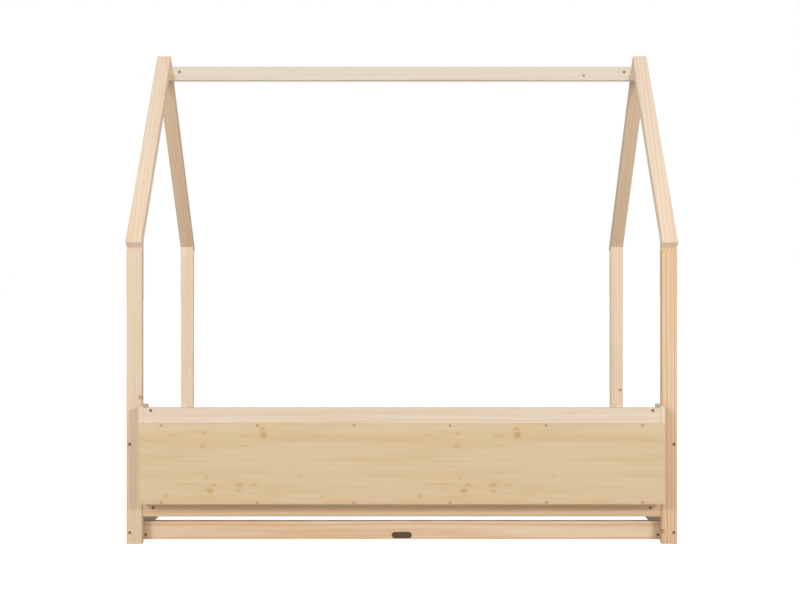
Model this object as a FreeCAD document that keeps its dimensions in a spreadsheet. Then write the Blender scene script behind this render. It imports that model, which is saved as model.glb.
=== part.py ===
import FreeCAD, Part
import os
import re

import Sketcher

# House frame bed for a small child.  Four posts carry two pairs of rafters and a ridge beam, like the
# outline of a house.  Rails at floor level and above them tie the posts together and hold a slatted base
# for a 1400 x 700 mattress.  A shallow open-topped book rack stands out of the rear side.
#
# +X runs along the bed, +Y from the rear side with the rack to the front side where the child climbs in,
# and +Z up.  The bed stands on Z = 0, and the origin is under the middle of its outer box.
# Lengths are in millimetres and angles in degrees.

SIZES = {
    # The frame as a whole
    "bed_length": 1446,
    "bed_width": 750,
    "post_height": 765,
    "roof_slope": 55.4,
    "eave_overhang": 12,
    # Sections of the timbers
    "post_face": 41,
    "post_thick": 22,
    "rafter_thick": 25,
    "rail_thick": 18,
    "ridge_thick": 20,
    "ridge_tall": 41,
    "ridge_lift": 11.5,
    "arris": 2,
    # Rails, from the floor upwards
    "floor_gap": 4.5,
    "floor_rail_tall": 48,
    "floor_rail_setback": 36,
    "side_rail_level": 71.5,
    "side_rail_tall": 42,
    "upper_rail_level": 230,
    "upper_rail_tall": 44,
    # Panels that close the two ends
    "end_panel_thick": 4,
    "groove_depth": 8,
    "groove_play": 0.2,
    # Slatted base
    "slat_wide": 70,
    "slat_thick": 12,
    "slat_drop": 7,
    "slat_play": 1,
    "slat_margin": 10,
    "ledger_wide": 20,
    "ledger_tall": 20,
    # Book rack
    "rack_reach": 40,
    "cheek_thick": 12,
    "cheek_wide": 68,
    "cheek_tall": 253,
    "rack_rail_thick": 20,
    "rack_rail_tall": 60,
    "rack_rail_drop": 4.2,
    "rack_floor_thick": 10,
    "inner_rail_level": 200,
    "inner_rail_tall": 44,
    "back_panel_thick": 4,
    "back_panel_lap": 20,
    "back_panel_inset": 3,
    "panel_screw_margin": 56.6,
    "panel_screw_edge": 4.5,
    # Blank oval plate on the rear floor rail
    "plate_long": 53,
    "plate_tall": 16.5,
    "plate_thick": 1.2,
    "plate_level": 16,
    "plate_pin_pitch": 40,
    "plate_pin_dia": 2,
    "plate_pin_long": 7,
    # Sunk bolts with a hexagon socket, and flat-headed connector bolts
    "bolt_dia": 5,
    "bolt_hole_dia": 5.5,
    "bolt_head_dia": 8.5,
    "bolt_head_tall": 5,
    "head_bore_dia": 9,
    "head_sink": 4,
    "flat_head_dia": 12,
    "flat_head_tall": 2.5,
    "flat_bore_dia": 12.4,
    "socket_across": 4,
    "socket_deep": 2,
    "bolt_tip": 3,
    # Barrel nuts that the bolts pull against
    "nut_dia": 8,
    "nut_long": 12,
    "nut_bore_dia": 8.3,
    "nut_thread_dia": 5.1,
    "end_rail_nut": 45,
    "side_rail_nut": 29,
    "floor_rail_nut": 24.5,
    "ridge_nut": 27,
    "rack_rail_nut": 20,
    "inner_rail_nut": 28,
    # Where the bolts lie
    "end_bolt_level": 30,
    "side_bolt_level": 95.5,
    "upper_bolt_level": 262,
    "floor_bolt_level": 16.5,
    "ridge_bolt_drop": 16,
    "rack_bolt_drop": 6.6,
    # Dowels
    "dowel_dia": 8,
    "dowel_deep": 20,
    "dowel_in_post": 12,
    "dowel_in_rail": 10,
    "side_dowel_pitch": 22,
    "floor_dowel_level": 39,
    "upper_dowel_drop": 17,
    "rack_dowel_rise": 15,
    "roof_dowel_pitch": 20,
    "roof_dowel_up": 15,
    "roof_dowel_down": 25,
    "apex_dowel_deep": 12,
    # Wood screws
    "screw_dia": 3.5,
    "screw_hole_dia": 3.6,
    "screw_head_dia": 7,
    "screw_head_tall": 1.8,
    "screw_bore_dia": 7.2,
    "panel_screw_long": 16,
    "rack_screw_long": 33,
    "slat_screw_long": 26,
    "ledger_screw_long": 32,
}

SLAT_COUNT = 12
PANEL_SCREW_COUNT = 6
LEDGER_SCREW_STEPS = (-4, -2, 0, 2, 4)

# Planes and levels worked out from the sizes.  Y is counted from the outer face of the rear posts here:
# every piece is then moved back by frame_middle, which puts the origin under the middle of the box.
LINES = {
    # Across the length
    "end_face": "bed_length / 2",
    "post_inner": "end_face - post_face",
    "post_middle": "end_face - post_face / 2",
    "end_rail_inner": "end_face - rail_thick",
    "end_rail_middle": "end_face - rail_thick / 2",
    "cheek_inner": "post_inner - cheek_thick",
    "back_panel_half": "post_inner - back_panel_inset",
    "panel_screw_pitch": "(back_panel_half - panel_screw_margin) * 2 / %d" % (PANEL_SCREW_COUNT - 1),
    "slat_pitch": "(post_inner * 2 - slat_margin * 2 - slat_wide) / %d" % (SLAT_COUNT - 1),
    # Across the width
    "ridge_line": "bed_width / 2",
    "rack_face": "0 - rack_reach",
    "back_panel_face": "rack_face - back_panel_thick",
    "frame_middle": "(back_panel_face - screw_head_tall + bed_width + eave_overhang) / 2",
    "post_back": "bed_width - post_thick",
    "inner_width": "bed_width - post_thick * 2",
    "side_rail_middle": "post_thick - rail_thick / 2",
    "floor_rail_middle": "floor_rail_setback + rail_thick / 2",
    "rack_rail_middle": "rack_face + rack_rail_thick / 2",
    "plate_face": "floor_rail_setback - plate_thick",
    "ledger_middle": "post_thick + ledger_wide / 2",
    # Levels of the base
    "floor_rail_top": "floor_gap + floor_rail_tall",
    "side_rail_top": "side_rail_level + side_rail_tall",
    "slat_top": "side_rail_top - slat_drop",
    "ledger_top": "slat_top - slat_thick",
    "ledger_level": "ledger_top - ledger_tall",
    "upper_dowel_level": "upper_bolt_level - upper_dowel_drop",
    "end_panel_level": "floor_rail_top - groove_depth",
    "end_panel_top": "upper_rail_level + groove_depth - groove_play",
    # Levels of the rack
    "cheek_top": "side_rail_top + cheek_tall",
    "rack_rail_top": "cheek_top - rack_rail_drop",
    "rack_rail_level": "rack_rail_top - rack_rail_tall",
    "rack_bolt_level": "rack_rail_top - rack_bolt_drop",
    "rack_dowel_level": "rack_rail_level + rack_dowel_rise",
    "rack_floor_middle_level": "side_rail_top + rack_floor_thick / 2",
    "inner_rail_middle_level": "inner_rail_level + inner_rail_tall / 2",
    "back_panel_top": "rack_rail_level + back_panel_lap",
    "panel_screw_level": "back_panel_top - panel_screw_edge",
    # The roof
    "inner_apex": "post_height + ridge_line * tan(roof_slope)",
    "plumb_thick": "rafter_thick / cos(roof_slope)",
    "apex": "inner_apex + plumb_thick",
    "eave_outer_level": "apex - (ridge_line + eave_overhang) * tan(roof_slope)",
    "eave_inner_line": "rafter_thick * sin(roof_slope) - eave_overhang",
    "eave_inner_level": "eave_outer_level - rafter_thick * cos(roof_slope)",
    "ridge_top": "inner_apex + ridge_lift",
    "ridge_level": "ridge_top - ridge_tall",
    "ridge_bolt_level": "ridge_top - ridge_bolt_drop",
    "block_half": "(inner_apex - ridge_level) / tan(roof_slope)",
    "block_top": "min(ridge_bolt_level; inner_apex - arris)",
    "block_top_half": "(inner_apex - block_top) / tan(roof_slope)",
    "roof_seat_line": "(eave_inner_line + post_thick) / 2",
    "roof_seat_level": "post_height + roof_seat_line * tan(roof_slope)",
    "apex_dowel_level": "inner_apex + plumb_thick / 4",
}

X_AXIS = FreeCAD.Vector(1, 0, 0)
Y_AXIS = FreeCAD.Vector(0, 1, 0)
Z_AXIS = FreeCAD.Vector(0, 0, 1)

doc = FreeCAD.newDocument("HouseFrameBed")
nodes = []


def make_sheet():
    """Put the driving sizes in the spreadsheet, one named cell each."""
    sheet = doc.addObject("Spreadsheet::Sheet", "Sizes")
    for row, (alias, value) in enumerate(SIZES.items(), start=1):
        sheet.set("A%d" % row, alias)
        sheet.set("B%d" % row, str(value))
        sheet.setAlias("B%d" % row, alias)
    doc.recompute()
    return sheet


def spell(text):
    """Write an expression out in full: lines by their own expression, and sizes by their cell."""
    def swap(match):
        word = match.group(0)
        if word in LINES:
            return "(%s)" % spell(LINES[word])
        return "Sizes." + word if word in SIZES else word
    return re.sub(r"[a-z_]+", swap, str(text))


def worth(text):
    """The present value of an expression."""
    return float(sheet.evalExpression(spell(text)))


def bind(item, **properties):
    """Bind properties to expressions.  A double underscore stands for the dot in a property's path."""
    for path, text in properties.items():
        item.setExpression(path.replace("__", "."), spell(text))


def place(item, x, y, z, prefix="Placement"):
    """Bind the place of an item."""
    for letter, text in zip("xyz", (x, y, z)):
        item.setExpression("%s.Base.%s" % (prefix, letter), spell(text))


def turned(direction):
    """A placement that turns +Z to a direction."""
    return FreeCAD.Placement(FreeCAD.Vector(), FreeCAD.Rotation(Z_AXIS, direction))


def keep(item):
    """List an item as a sub-part that is written to its own file."""
    nodes.append(item)
    return item


def new_body(label):
    """An empty body, moved so that the origin lies under the middle of the bed."""
    body = doc.addObject("PartDesign::Body", label)
    body.Label = label
    bind(body, Placement__Base__y="0 - frame_middle")
    return body


def round_arrises(body, blank, along):
    """Round the long edges of a blank, those that run along its grain."""
    names = []
    for number, edge in enumerate(blank.Shape.Edges, start=1):
        if abs(edge.tangentAt(edge.FirstParameter).dot(along)) > 0.999:
            names.append("Edge%d" % number)
    rounding = body.newObject("PartDesign::Fillet", body.Label + "_arrises")
    rounding.Base = (blank, names)
    bind(rounding, Radius="arris")


def board(label, low, size, grain=None):
    """A straight board: its lowest corner, its size along X, Y and Z, and the way its grain runs."""
    body = new_body(label)
    blank = body.newObject("PartDesign::AdditiveBox", label + "_blank")
    bind(blank, Length=size[0], Width=size[1], Height=size[2])
    place(blank, *low)
    doc.recompute()
    if grain is not None:
        round_arrises(body, blank, grain)
    return body


def outline(body, role, points):
    """A closed outline of straight lines on one of the body's origin planes, each corner dimensioned."""
    sketch = body.newObject("Sketcher::SketchObject", body.Label + "_outline")
    plane = next(item for item in body.Origin.OriginFeatures if item.Role == role)
    sketch.AttachmentSupport = [(plane, "")]
    sketch.MapMode = "FlatFace"
    corners = [FreeCAD.Vector(worth(across), worth(up), 0) for across, up in points]
    for number, corner in enumerate(corners):
        following = corners[(number + 1) % len(corners)]
        sketch.addGeometry(Part.LineSegment(corner, following), False)
    for number, (across, up) in enumerate(points):
        before = (number - 1) % len(points)
        sketch.addConstraint(Sketcher.Constraint("Coincident", before, 2, number, 1))
        for kind, text, value in (("DistanceX", across, corners[number].x),
                                  ("DistanceY", up, corners[number].y)):
            index = sketch.addConstraint(Sketcher.Constraint(kind, -1, 1, number, 1, value))
            sketch.setExpression("Constraints[%d]" % index, spell(text))
    return sketch


def profile_board(label, points, start, thick, along=None):
    """A piece sawn to an outline across the bed, as thick along X as the expression says."""
    body = new_body(label)
    sketch = outline(body, "YZ_Plane", points)
    bind(sketch, AttachmentOffset__Base__z=start)
    blank = body.newObject("PartDesign::Pad", label + "_blank")
    blank.Profile = sketch
    bind(blank, Length=thick)
    doc.recompute()
    if along is not None:
        round_arrises(body, blank, along)
    return body


def drill(body, mouth, direction, dia, deep):
    """Bore a round hole from its mouth into the wood."""
    hole = body.newObject("PartDesign::SubtractiveCylinder", body.Label + "_hole")
    hole.Placement = turned(direction)
    bind(hole, Radius="%s / 2" % dia, Height=deep)
    place(hole, *mouth)


def rout(body, low, size):
    """Cut a straight groove, given as a box."""
    groove = body.newObject("PartDesign::SubtractiveBox", body.Label + "_groove")
    bind(groove, Length=size[0], Width=size[1], Height=size[2])
    place(groove, *low)


def mirrored(source, label, normal):
    """The mirror image of a piece, across the middle of the length or of the posts' width."""
    image = doc.addObject("Part::Mirroring", label)
    image.Label = label
    image.Source = source
    image.Normal = normal
    bind(image, Base__y="ridge_line - frame_middle")
    return image


def left_of(source, label):
    """The left-hand twin of a right-hand piece."""
    return keep(mirrored(source, label, X_AXIS))


def front_of(source, label):
    """The front twin of a rear piece."""
    return keep(mirrored(source, label, Y_AXIS))


# Posts ---------------------------------------------------------------------------------------------

SUNK_DEEP = "head_sink + bolt_head_tall"


def post(label, carries_rack):
    """The right rear post.  The rear ones are also bored for the bolts that hold the rack."""
    body = profile_board(label, [("0", "0"), ("post_thick", "0"),
                                 ("post_thick", "post_height + post_thick * tan(roof_slope)"),
                                 ("0", "post_height")], "post_inner", "post_face", Z_AXIS)
    for level in ("end_bolt_level", "upper_bolt_level"):
        drill(body, ("end_rail_middle", "0", level), Y_AXIS, "bolt_hole_dia", "post_thick")
        drill(body, ("end_rail_middle", "0", level), Y_AXIS, "head_bore_dia", SUNK_DEEP)
    side_levels = ["side_bolt_level"] + ["inner_rail_middle_level"] * carries_rack
    for level in side_levels:
        drill(body, ("end_face", "side_rail_middle", level), -X_AXIS, "bolt_hole_dia", "post_face")
        drill(body, ("end_face", "side_rail_middle", level), -X_AXIS, "head_bore_dia", SUNK_DEEP)
    for sign in "-+":
        level = "side_bolt_level %s side_dowel_pitch / 2" % sign
        drill(body, ("post_inner", "side_rail_middle", level), X_AXIS, "dowel_dia", "dowel_in_post")
        across = "post_middle %s roof_dowel_pitch / 2" % sign
        drill(body, (across, "roof_seat_line", "roof_seat_level - roof_dowel_down"), Z_AXIS, "dowel_dia",
              "roof_dowel_down + dowel_dia * tan(roof_slope)")
    level = "upper_dowel_level"
    drill(body, ("end_rail_middle", "post_thick", level), -Y_AXIS, "dowel_dia", "dowel_in_post")
    return body


def make_posts():
    rear = keep(post("post_rear_right", True))
    left_of(rear, "post_rear_left")
    plain = post("post_pattern", False)
    front = front_of(plain, "post_front_right")
    left_of(front, "post_front_left")


# Roof ----------------------------------------------------------------------------------------------

def make_rafters():
    slope = FreeCAD.Rotation(X_AXIS, worth("roof_slope")).multVec(Y_AXIS)
    rear = profile_board("rafter_rear_right", [("eave_inner_line", "eave_inner_level"),
                                               ("ridge_line", "inner_apex"), ("ridge_line", "apex"),
                                               ("0 - eave_overhang", "eave_outer_level")],
                         "post_inner", "post_face", slope)
    mouth = ("end_face", "ridge_line", "ridge_bolt_level")
    drill(rear, mouth, -X_AXIS, "bolt_hole_dia", "post_face")
    drill(rear, mouth, -X_AXIS, "flat_bore_dia", "flat_head_tall")
    for sign in "-+":
        across = "post_middle %s roof_dowel_pitch / 2" % sign
        drill(rear, (across, "roof_seat_line", "roof_seat_level - dowel_dia * tan(roof_slope)"), Z_AXIS,
              "dowel_dia", "roof_dowel_up + dowel_dia * tan(roof_slope)")
        drill(rear, (across, "ridge_line", "apex_dowel_level"), -Y_AXIS, "dowel_dia", "apex_dowel_deep")
    keep(rear)
    left_of(rear, "rafter_rear_left")
    front = front_of(rear, "rafter_front_right")
    left_of(front, "rafter_front_left")


def make_ridge():
    block = profile_board("ridge_block_right", [("ridge_line - block_half", "ridge_level"),
                                                ("ridge_line + block_half", "ridge_level"),
                                                ("ridge_line + block_top_half", "block_top"),
                                                ("ridge_line - block_top_half", "block_top")],
                          "post_inner", "post_face")
    mouth = ("end_face", "ridge_line", "ridge_bolt_level")
    drill(block, mouth, -X_AXIS, "bolt_hole_dia", "post_face")
    drill(block, mouth, -X_AXIS, "flat_bore_dia", "flat_head_tall")
    keep(block)
    left_of(block, "ridge_block_left")

    beam = board("ridge_beam", ("0 - post_inner", "ridge_line - ridge_thick / 2", "ridge_level"),
                 ("post_inner * 2", "ridge_thick", "ridge_tall"), X_AXIS)
    for sign, inwards in (("+", -X_AXIS), ("-", X_AXIS)):
        drill(beam, ("0 %s post_inner" % sign, "ridge_line", "ridge_bolt_level"), inwards,
              "bolt_hole_dia", "ridge_nut + nut_dia")
        drill(beam, ("0 %s (post_inner - ridge_nut)" % sign, "ridge_line - ridge_thick / 2",
                     "ridge_bolt_level"), Y_AXIS, "nut_bore_dia", "ridge_thick / 2 + nut_long / 2")
    keep(beam)


# Ends ----------------------------------------------------------------------------------------------

def end_rail(label, level, tall, bolt_level, groove_level):
    """A right-hand end rail between the posts, grooved for the end panel."""
    body = board(label, ("end_rail_inner", "post_thick", level), ("rail_thick", "inner_width", tall), Y_AXIS)
    rout(body, ("end_rail_middle - end_panel_thick / 2 - groove_play", "post_thick", groove_level),
         ("end_panel_thick + groove_play * 2", "inner_width", "groove_depth"))
    for mouth, inwards, sign in (("post_thick", Y_AXIS, "+"), ("post_back", -Y_AXIS, "-")):
        drill(body, ("end_rail_middle", mouth, bolt_level), inwards, "bolt_hole_dia",
              "end_rail_nut + nut_dia")
        drill(body, ("end_rail_inner", "%s %s end_rail_nut" % (mouth, sign), bolt_level), X_AXIS,
              "nut_bore_dia", "rail_thick / 2 + nut_long / 2")
    return body


def make_ends():
    lower = end_rail("end_rail_lower_right", "floor_gap", "floor_rail_tall", "end_bolt_level",
                     "floor_rail_top - groove_depth")
    for line in ("floor_rail_middle", "bed_width - floor_rail_middle"):
        drill(lower, ("end_face", line, "floor_bolt_level"), -X_AXIS, "bolt_hole_dia", "rail_thick")
        drill(lower, ("end_face", line, "floor_bolt_level"), -X_AXIS, "head_bore_dia", SUNK_DEEP)
        drill(lower, ("end_rail_inner", line, "floor_dowel_level"), X_AXIS, "dowel_dia", "dowel_in_rail")
    keep(lower)
    left_of(lower, "end_rail_lower_left")

    upper = end_rail("end_rail_upper_right", "upper_rail_level", "upper_rail_tall",
                     "upper_bolt_level", "upper_rail_level")
    for mouth, inwards in (("post_thick", Y_AXIS), ("post_back", -Y_AXIS)):
        drill(upper, ("end_rail_middle", mouth, "upper_dowel_level"), inwards,
              "dowel_dia", "dowel_deep")
    keep(upper)
    left_of(upper, "end_rail_upper_left")

    panel = keep(board("end_panel_right", ("end_rail_middle - end_panel_thick / 2",
                                           "post_thick + groove_play", "end_panel_level"),
                       ("end_panel_thick", "inner_width - groove_play * 2",
                        "end_panel_top - end_panel_level")))
    left_of(panel, "end_panel_left")


# Long rails and slatted base -----------------------------------------------------------------------

def long_rail(label, half_length, low_line, low_level, tall, bolt):
    """A rail along the rear side with a bolt and a barrel nut at each end."""
    bolt_line, bolt_level, nut_setback, nut_mouth = bolt
    body = board(label, ("0 - " + half_length, low_line, low_level),
                 (half_length + " * 2", "rail_thick", tall), X_AXIS)
    for sign, inwards in (("+", -X_AXIS), ("-", X_AXIS)):
        drill(body, ("0 %s %s" % (sign, half_length), bolt_line, bolt_level), inwards, "bolt_hole_dia",
              nut_setback + " + nut_dia")
        drill(body, ("0 %s (%s - %s)" % (sign, half_length, nut_setback), nut_mouth, bolt_level), Y_AXIS,
              "nut_bore_dia", "rail_thick / 2 + nut_long / 2")
    return body


def drill_ends(body, half_length, line, level, dia, deep):
    """The same hole in both ends of a rail."""
    for sign, inwards in (("+", -X_AXIS), ("-", X_AXIS)):
        drill(body, ("0 %s %s" % (sign, half_length), line, level), inwards, dia, deep)


def ledger_screw_places():
    return ["slat_pitch * (%d)" % step for step in LEDGER_SCREW_STEPS]


def row_of(pitch, count):
    """Places along the bed, evenly spaced about its middle."""
    return ["%s * (%.1f)" % (pitch, number - (count - 1) / 2) for number in range(count)]


def slat_places():
    return row_of("slat_pitch", SLAT_COUNT)


def make_long_rails():
    side = long_rail("side_rail_rear", "post_inner", "post_thick - rail_thick", "side_rail_level",
                     "side_rail_tall", ("side_rail_middle", "side_bolt_level", "side_rail_nut",
                                        "post_thick - rail_thick"))
    for sign in "-+":
        drill_ends(side, "post_inner", "side_rail_middle",
                   "side_bolt_level %s side_dowel_pitch / 2" % sign, "dowel_dia", "dowel_deep")
    for across in ledger_screw_places():
        drill(side, (across, "post_thick", "ledger_level + ledger_tall / 2"), -Y_AXIS, "screw_hole_dia",
              "ledger_screw_long - ledger_wide + screw_head_tall")
    keep(side)
    front_of(side, "side_rail_front")

    for label in ("floor_rail_rear", "floor_rail_pattern"):
        floor = long_rail(label, "end_rail_inner", "floor_rail_setback", "floor_gap", "floor_rail_tall",
                          ("floor_rail_middle", "floor_bolt_level", "floor_rail_nut",
                           "floor_rail_setback"))
        drill_ends(floor, "end_rail_inner", "floor_rail_middle", "floor_dowel_level", "dowel_dia",
                   "dowel_deep")
        if label == "floor_rail_rear":
            for sign in "+-":
                drill(floor, ("0 %s plate_pin_pitch / 2" % sign, "floor_rail_setback", "plate_level"),
                      Y_AXIS, "plate_pin_dia", "plate_pin_long - plate_thick")
            keep(floor)
        else:
            front_of(floor, "floor_rail_front")


def make_slatted_base():
    ledger = board("slat_ledger_rear", ("0 - post_inner", "post_thick", "ledger_level"),
                   ("post_inner * 2", "ledger_wide", "ledger_tall"), X_AXIS)
    for across in ledger_screw_places():
        mouth = (across, "post_thick + ledger_wide", "ledger_level + ledger_tall / 2")
        drill(ledger, mouth, -Y_AXIS, "screw_hole_dia", "ledger_wide")
        drill(ledger, mouth, -Y_AXIS, "screw_bore_dia", "screw_head_tall")
    for across in slat_places():
        drill(ledger, (across, "ledger_middle", "ledger_top"), -Z_AXIS, "screw_hole_dia",
              "slat_screw_long - slat_thick + screw_head_tall")
    keep(ledger)
    front_of(ledger, "slat_ledger_front")

    for number, across in enumerate(slat_places(), start=1):
        slat = board("slat_%02d" % number, (across + " - slat_wide / 2", "post_thick + slat_play",
                                            "ledger_top"),
                     ("slat_wide", "inner_width - slat_play * 2", "slat_thick"), Y_AXIS)
        for line in ("ledger_middle", "bed_width - ledger_middle"):
            drill(slat, (across, line, "slat_top"), -Z_AXIS, "screw_hole_dia", "slat_thick")
            drill(slat, (across, line, "slat_top"), -Z_AXIS, "screw_bore_dia", "screw_head_tall")
        keep(slat)


# Book rack -----------------------------------------------------------------------------------------

RACK_SCREW_LINES = ("rack_face + rack_reach / 4", "0 - rack_reach / 4")


def panel_screw_places():
    return row_of("panel_screw_pitch", PANEL_SCREW_COUNT)


def make_rack():
    cheek = board("rack_cheek_right", ("cheek_inner", "rack_face", "side_rail_top"),
                  ("cheek_thick", "cheek_wide", "cheek_tall"), Z_AXIS)
    drill(cheek, ("post_inner", "rack_rail_middle", "rack_bolt_level"), -X_AXIS, "bolt_hole_dia",
          "cheek_thick")
    drill(cheek, ("post_inner", "rack_rail_middle", "rack_bolt_level"), -X_AXIS, "flat_bore_dia",
          "flat_head_tall")
    drill(cheek, ("post_inner", "side_rail_middle", "inner_rail_middle_level"), -X_AXIS, "bolt_hole_dia",
          "cheek_thick")
    drill(cheek, ("cheek_inner", "rack_rail_middle", "rack_dowel_level"), X_AXIS, "dowel_dia",
          "dowel_in_rail")
    for line in RACK_SCREW_LINES:
        mouth = ("post_inner", line, "rack_floor_middle_level")
        drill(cheek, mouth, -X_AXIS, "screw_hole_dia", "cheek_thick")
        drill(cheek, mouth, -X_AXIS, "screw_bore_dia", "screw_head_tall")
    keep(cheek)
    left_of(cheek, "rack_cheek_left")

    top = board("rack_top_rail", ("0 - cheek_inner", "rack_face", "rack_rail_level"),
                ("cheek_inner * 2", "rack_rail_thick", "rack_rail_tall"), X_AXIS)
    drill_ends(top, "cheek_inner", "rack_rail_middle", "rack_bolt_level", "bolt_hole_dia",
               "rack_rail_nut + nut_dia")
    drill_ends(top, "cheek_inner", "rack_rail_middle", "rack_dowel_level", "dowel_dia", "dowel_deep")
    for sign in "+-":
        drill(top, ("0 %s (cheek_inner - rack_rail_nut)" % sign, "rack_face", "rack_bolt_level"), Y_AXIS,
              "nut_bore_dia", "rack_rail_thick / 2 + nut_long / 2")
    for across in panel_screw_places():
        drill(top, (across, "rack_face", "panel_screw_level"), Y_AXIS, "screw_hole_dia",
              "panel_screw_long - back_panel_thick")
    keep(top)

    floor = board("rack_floor", ("0 - cheek_inner", "rack_face", "side_rail_top"),
                  ("cheek_inner * 2", "cheek_wide", "rack_floor_thick"), X_AXIS)
    for line in RACK_SCREW_LINES:
        drill_ends(floor, "cheek_inner", line, "rack_floor_middle_level", "screw_hole_dia",
                   "rack_screw_long - cheek_thick + screw_head_tall")
    for across in panel_screw_places():
        drill(floor, (across, "rack_face", "rack_floor_middle_level"), Y_AXIS, "screw_hole_dia",
              "panel_screw_long - back_panel_thick")
    keep(floor)

    keep(long_rail("rack_inner_rail", "cheek_inner", "post_thick - rail_thick", "inner_rail_level",
                   "inner_rail_tall", ("side_rail_middle", "inner_rail_middle_level", "inner_rail_nut",
                                       "post_thick - rail_thick")))

    panel = board("rack_back_panel", ("0 - back_panel_half", "back_panel_face", "side_rail_top"),
                  ("back_panel_half * 2", "back_panel_thick", "back_panel_top - side_rail_top"))
    for across in panel_screw_places():
        for level in ("panel_screw_level", "rack_floor_middle_level"):
            drill(panel, (across, "back_panel_face", level), Y_AXIS, "screw_hole_dia", "back_panel_thick")
    keep(panel)


# Blank plate ---------------------------------------------------------------------------------------

def make_plate():
    """A blank oval plate on the rear floor rail: a bar with round ends, held by two pins."""
    body = new_body("oval_plate")
    middle = body.newObject("PartDesign::AdditiveBox", "oval_plate_middle")
    bind(middle, Length="plate_long - plate_tall", Width="plate_thick", Height="plate_tall")
    place(middle, "0 - (plate_long - plate_tall) / 2", "plate_face", "plate_level - plate_tall / 2")
    for sign in "+-":
        end = body.newObject("PartDesign::AdditiveCylinder", "oval_plate_end")
        end.Placement = turned(Y_AXIS)
        bind(end, Radius="plate_tall / 2", Height="plate_thick")
        place(end, "0 %s (plate_long - plate_tall) / 2" % sign, "plate_face", "plate_level")
    for sign in "+-":
        drill(body, ("0 %s plate_pin_pitch / 2" % sign, "plate_face", "plate_level"), Y_AXIS,
              "plate_pin_dia", "plate_thick")
    keep(body)


# Fasteners -----------------------------------------------------------------------------------------
# Each pattern below stands on the origin, with its length along +Z, and is set into place by links.

def stack(label, parts):
    """A turned fastener pattern of cylinders: the diameter, the level where each starts, its length."""
    body = doc.addObject("PartDesign::Body", label)
    for dia, start, tall in parts:
        turn = body.newObject("PartDesign::AdditiveCylinder", label + "_turning")
        bind(turn, Radius="%s / 2" % dia, Height=tall)
        place(turn, "0", "0", start)
    return body


def bolt(label, head_dia, head_tall, long):
    """A bolt whose head rests on Z = 0, with a hexagon socket in the head."""
    body = stack(label, [(head_dia, "0 - " + head_tall, head_tall), ("bolt_dia", "0", long)])
    socket = body.newObject("PartDesign::SubtractivePrism", label + "_socket")
    socket.Polygon = 6
    bind(socket, Circumradius="socket_across / 2 / cos(30)", Height="socket_deep")
    place(socket, "0", "0", "0 - " + head_tall)
    return body


def screw(label, long):
    """A wood screw whose head rests on Z = 0."""
    return stack(label, [("screw_head_dia", "0 - screw_head_tall", "screw_head_tall"),
                         ("screw_dia", "0", long)])


def set_of(label, spots):
    """One node of equal fasteners: for each its pattern, its place and the placement that turns it."""
    links = []
    for pattern, where, turn in spots:
        link = doc.addObject("App::Link", label + "_link")
        link.LinkedObject = pattern
        link.Placement = turn
        place(link, *where)
        links.append(link)
    group = doc.addObject("Part::Compound", label)
    group.Label = label
    group.Links = links
    bind(group, Placement__Base__y="0 - frame_middle")
    keep(group)


def from_both_ends(x, y, z):
    """A place at each end of the bed, with the way from there towards the middle."""
    return [((x, y, z), -X_AXIS), (("0 - (%s)" % x, y, z), X_AXIS)]


def on_both_sides(x, y, z):
    """A place at each end of the rear and of the front side, with the way in from its end."""
    return from_both_ends(x, y, z) + from_both_ends(x, "bed_width - (%s)" % y, z)


def from_both_sides(x, y, z):
    """A place on the rear and on the front side at each end, with the way in from that side."""
    rear = [((end, y, z), Y_AXIS) for end in (x, "0 - (%s)" % x)]
    return rear + [((end, "bed_width - (%s)" % y, z), -Y_AXIS) for end in (x, "0 - (%s)" % x)]


def fasten(label, pattern, spots):
    """A node of fasteners that all follow one pattern."""
    set_of(label, [(pattern, where, turned(way)) for where, way in spots])


def make_bolts():
    reach = " + nut_dia / 2 + bolt_tip"
    sunk = ("bolt_head_dia", "bolt_head_tall")
    flat = ("flat_head_dia", "flat_head_tall")
    in_end_rail = "post_thick + end_rail_nut - (%s)" % SUNK_DEEP
    in_side_rail = "post_face + side_rail_nut - (%s)" % SUNK_DEEP
    in_floor_rail = "rail_thick + floor_rail_nut - (%s)" % SUNK_DEEP
    in_ridge = "post_face - flat_head_tall + ridge_nut"
    in_rack_rail = "cheek_thick - flat_head_tall + rack_rail_nut"
    in_inner_rail = "post_face + cheek_thick + inner_rail_nut - (%s)" % SUNK_DEEP
    seat = "end_face - (%s)" % SUNK_DEEP
    fasten("post_bolts", bolt("post_bolt", *sunk, in_end_rail + reach),
           from_both_sides("end_rail_middle", SUNK_DEEP, "end_bolt_level")
           + from_both_sides("end_rail_middle", SUNK_DEEP, "upper_bolt_level"))
    fasten("side_rail_bolts", bolt("side_rail_bolt", *sunk, in_side_rail + reach),
           on_both_sides(seat, "side_rail_middle", "side_bolt_level"))
    fasten("floor_rail_bolts", bolt("floor_rail_bolt", *sunk, in_floor_rail + reach),
           on_both_sides(seat, "floor_rail_middle", "floor_bolt_level"))
    fasten("ridge_bolts", bolt("ridge_bolt", *flat, in_ridge + reach),
           from_both_ends("end_face - flat_head_tall", "ridge_line", "ridge_bolt_level"))
    fasten("rack_rail_bolts", bolt("rack_rail_bolt", *flat, in_rack_rail + reach),
           from_both_ends("post_inner - flat_head_tall", "rack_rail_middle", "rack_bolt_level"))
    fasten("rack_mount_bolts", bolt("rack_mount_bolt", *sunk, in_inner_rail + reach),
           from_both_ends(seat, "side_rail_middle", "inner_rail_middle_level"))


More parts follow.
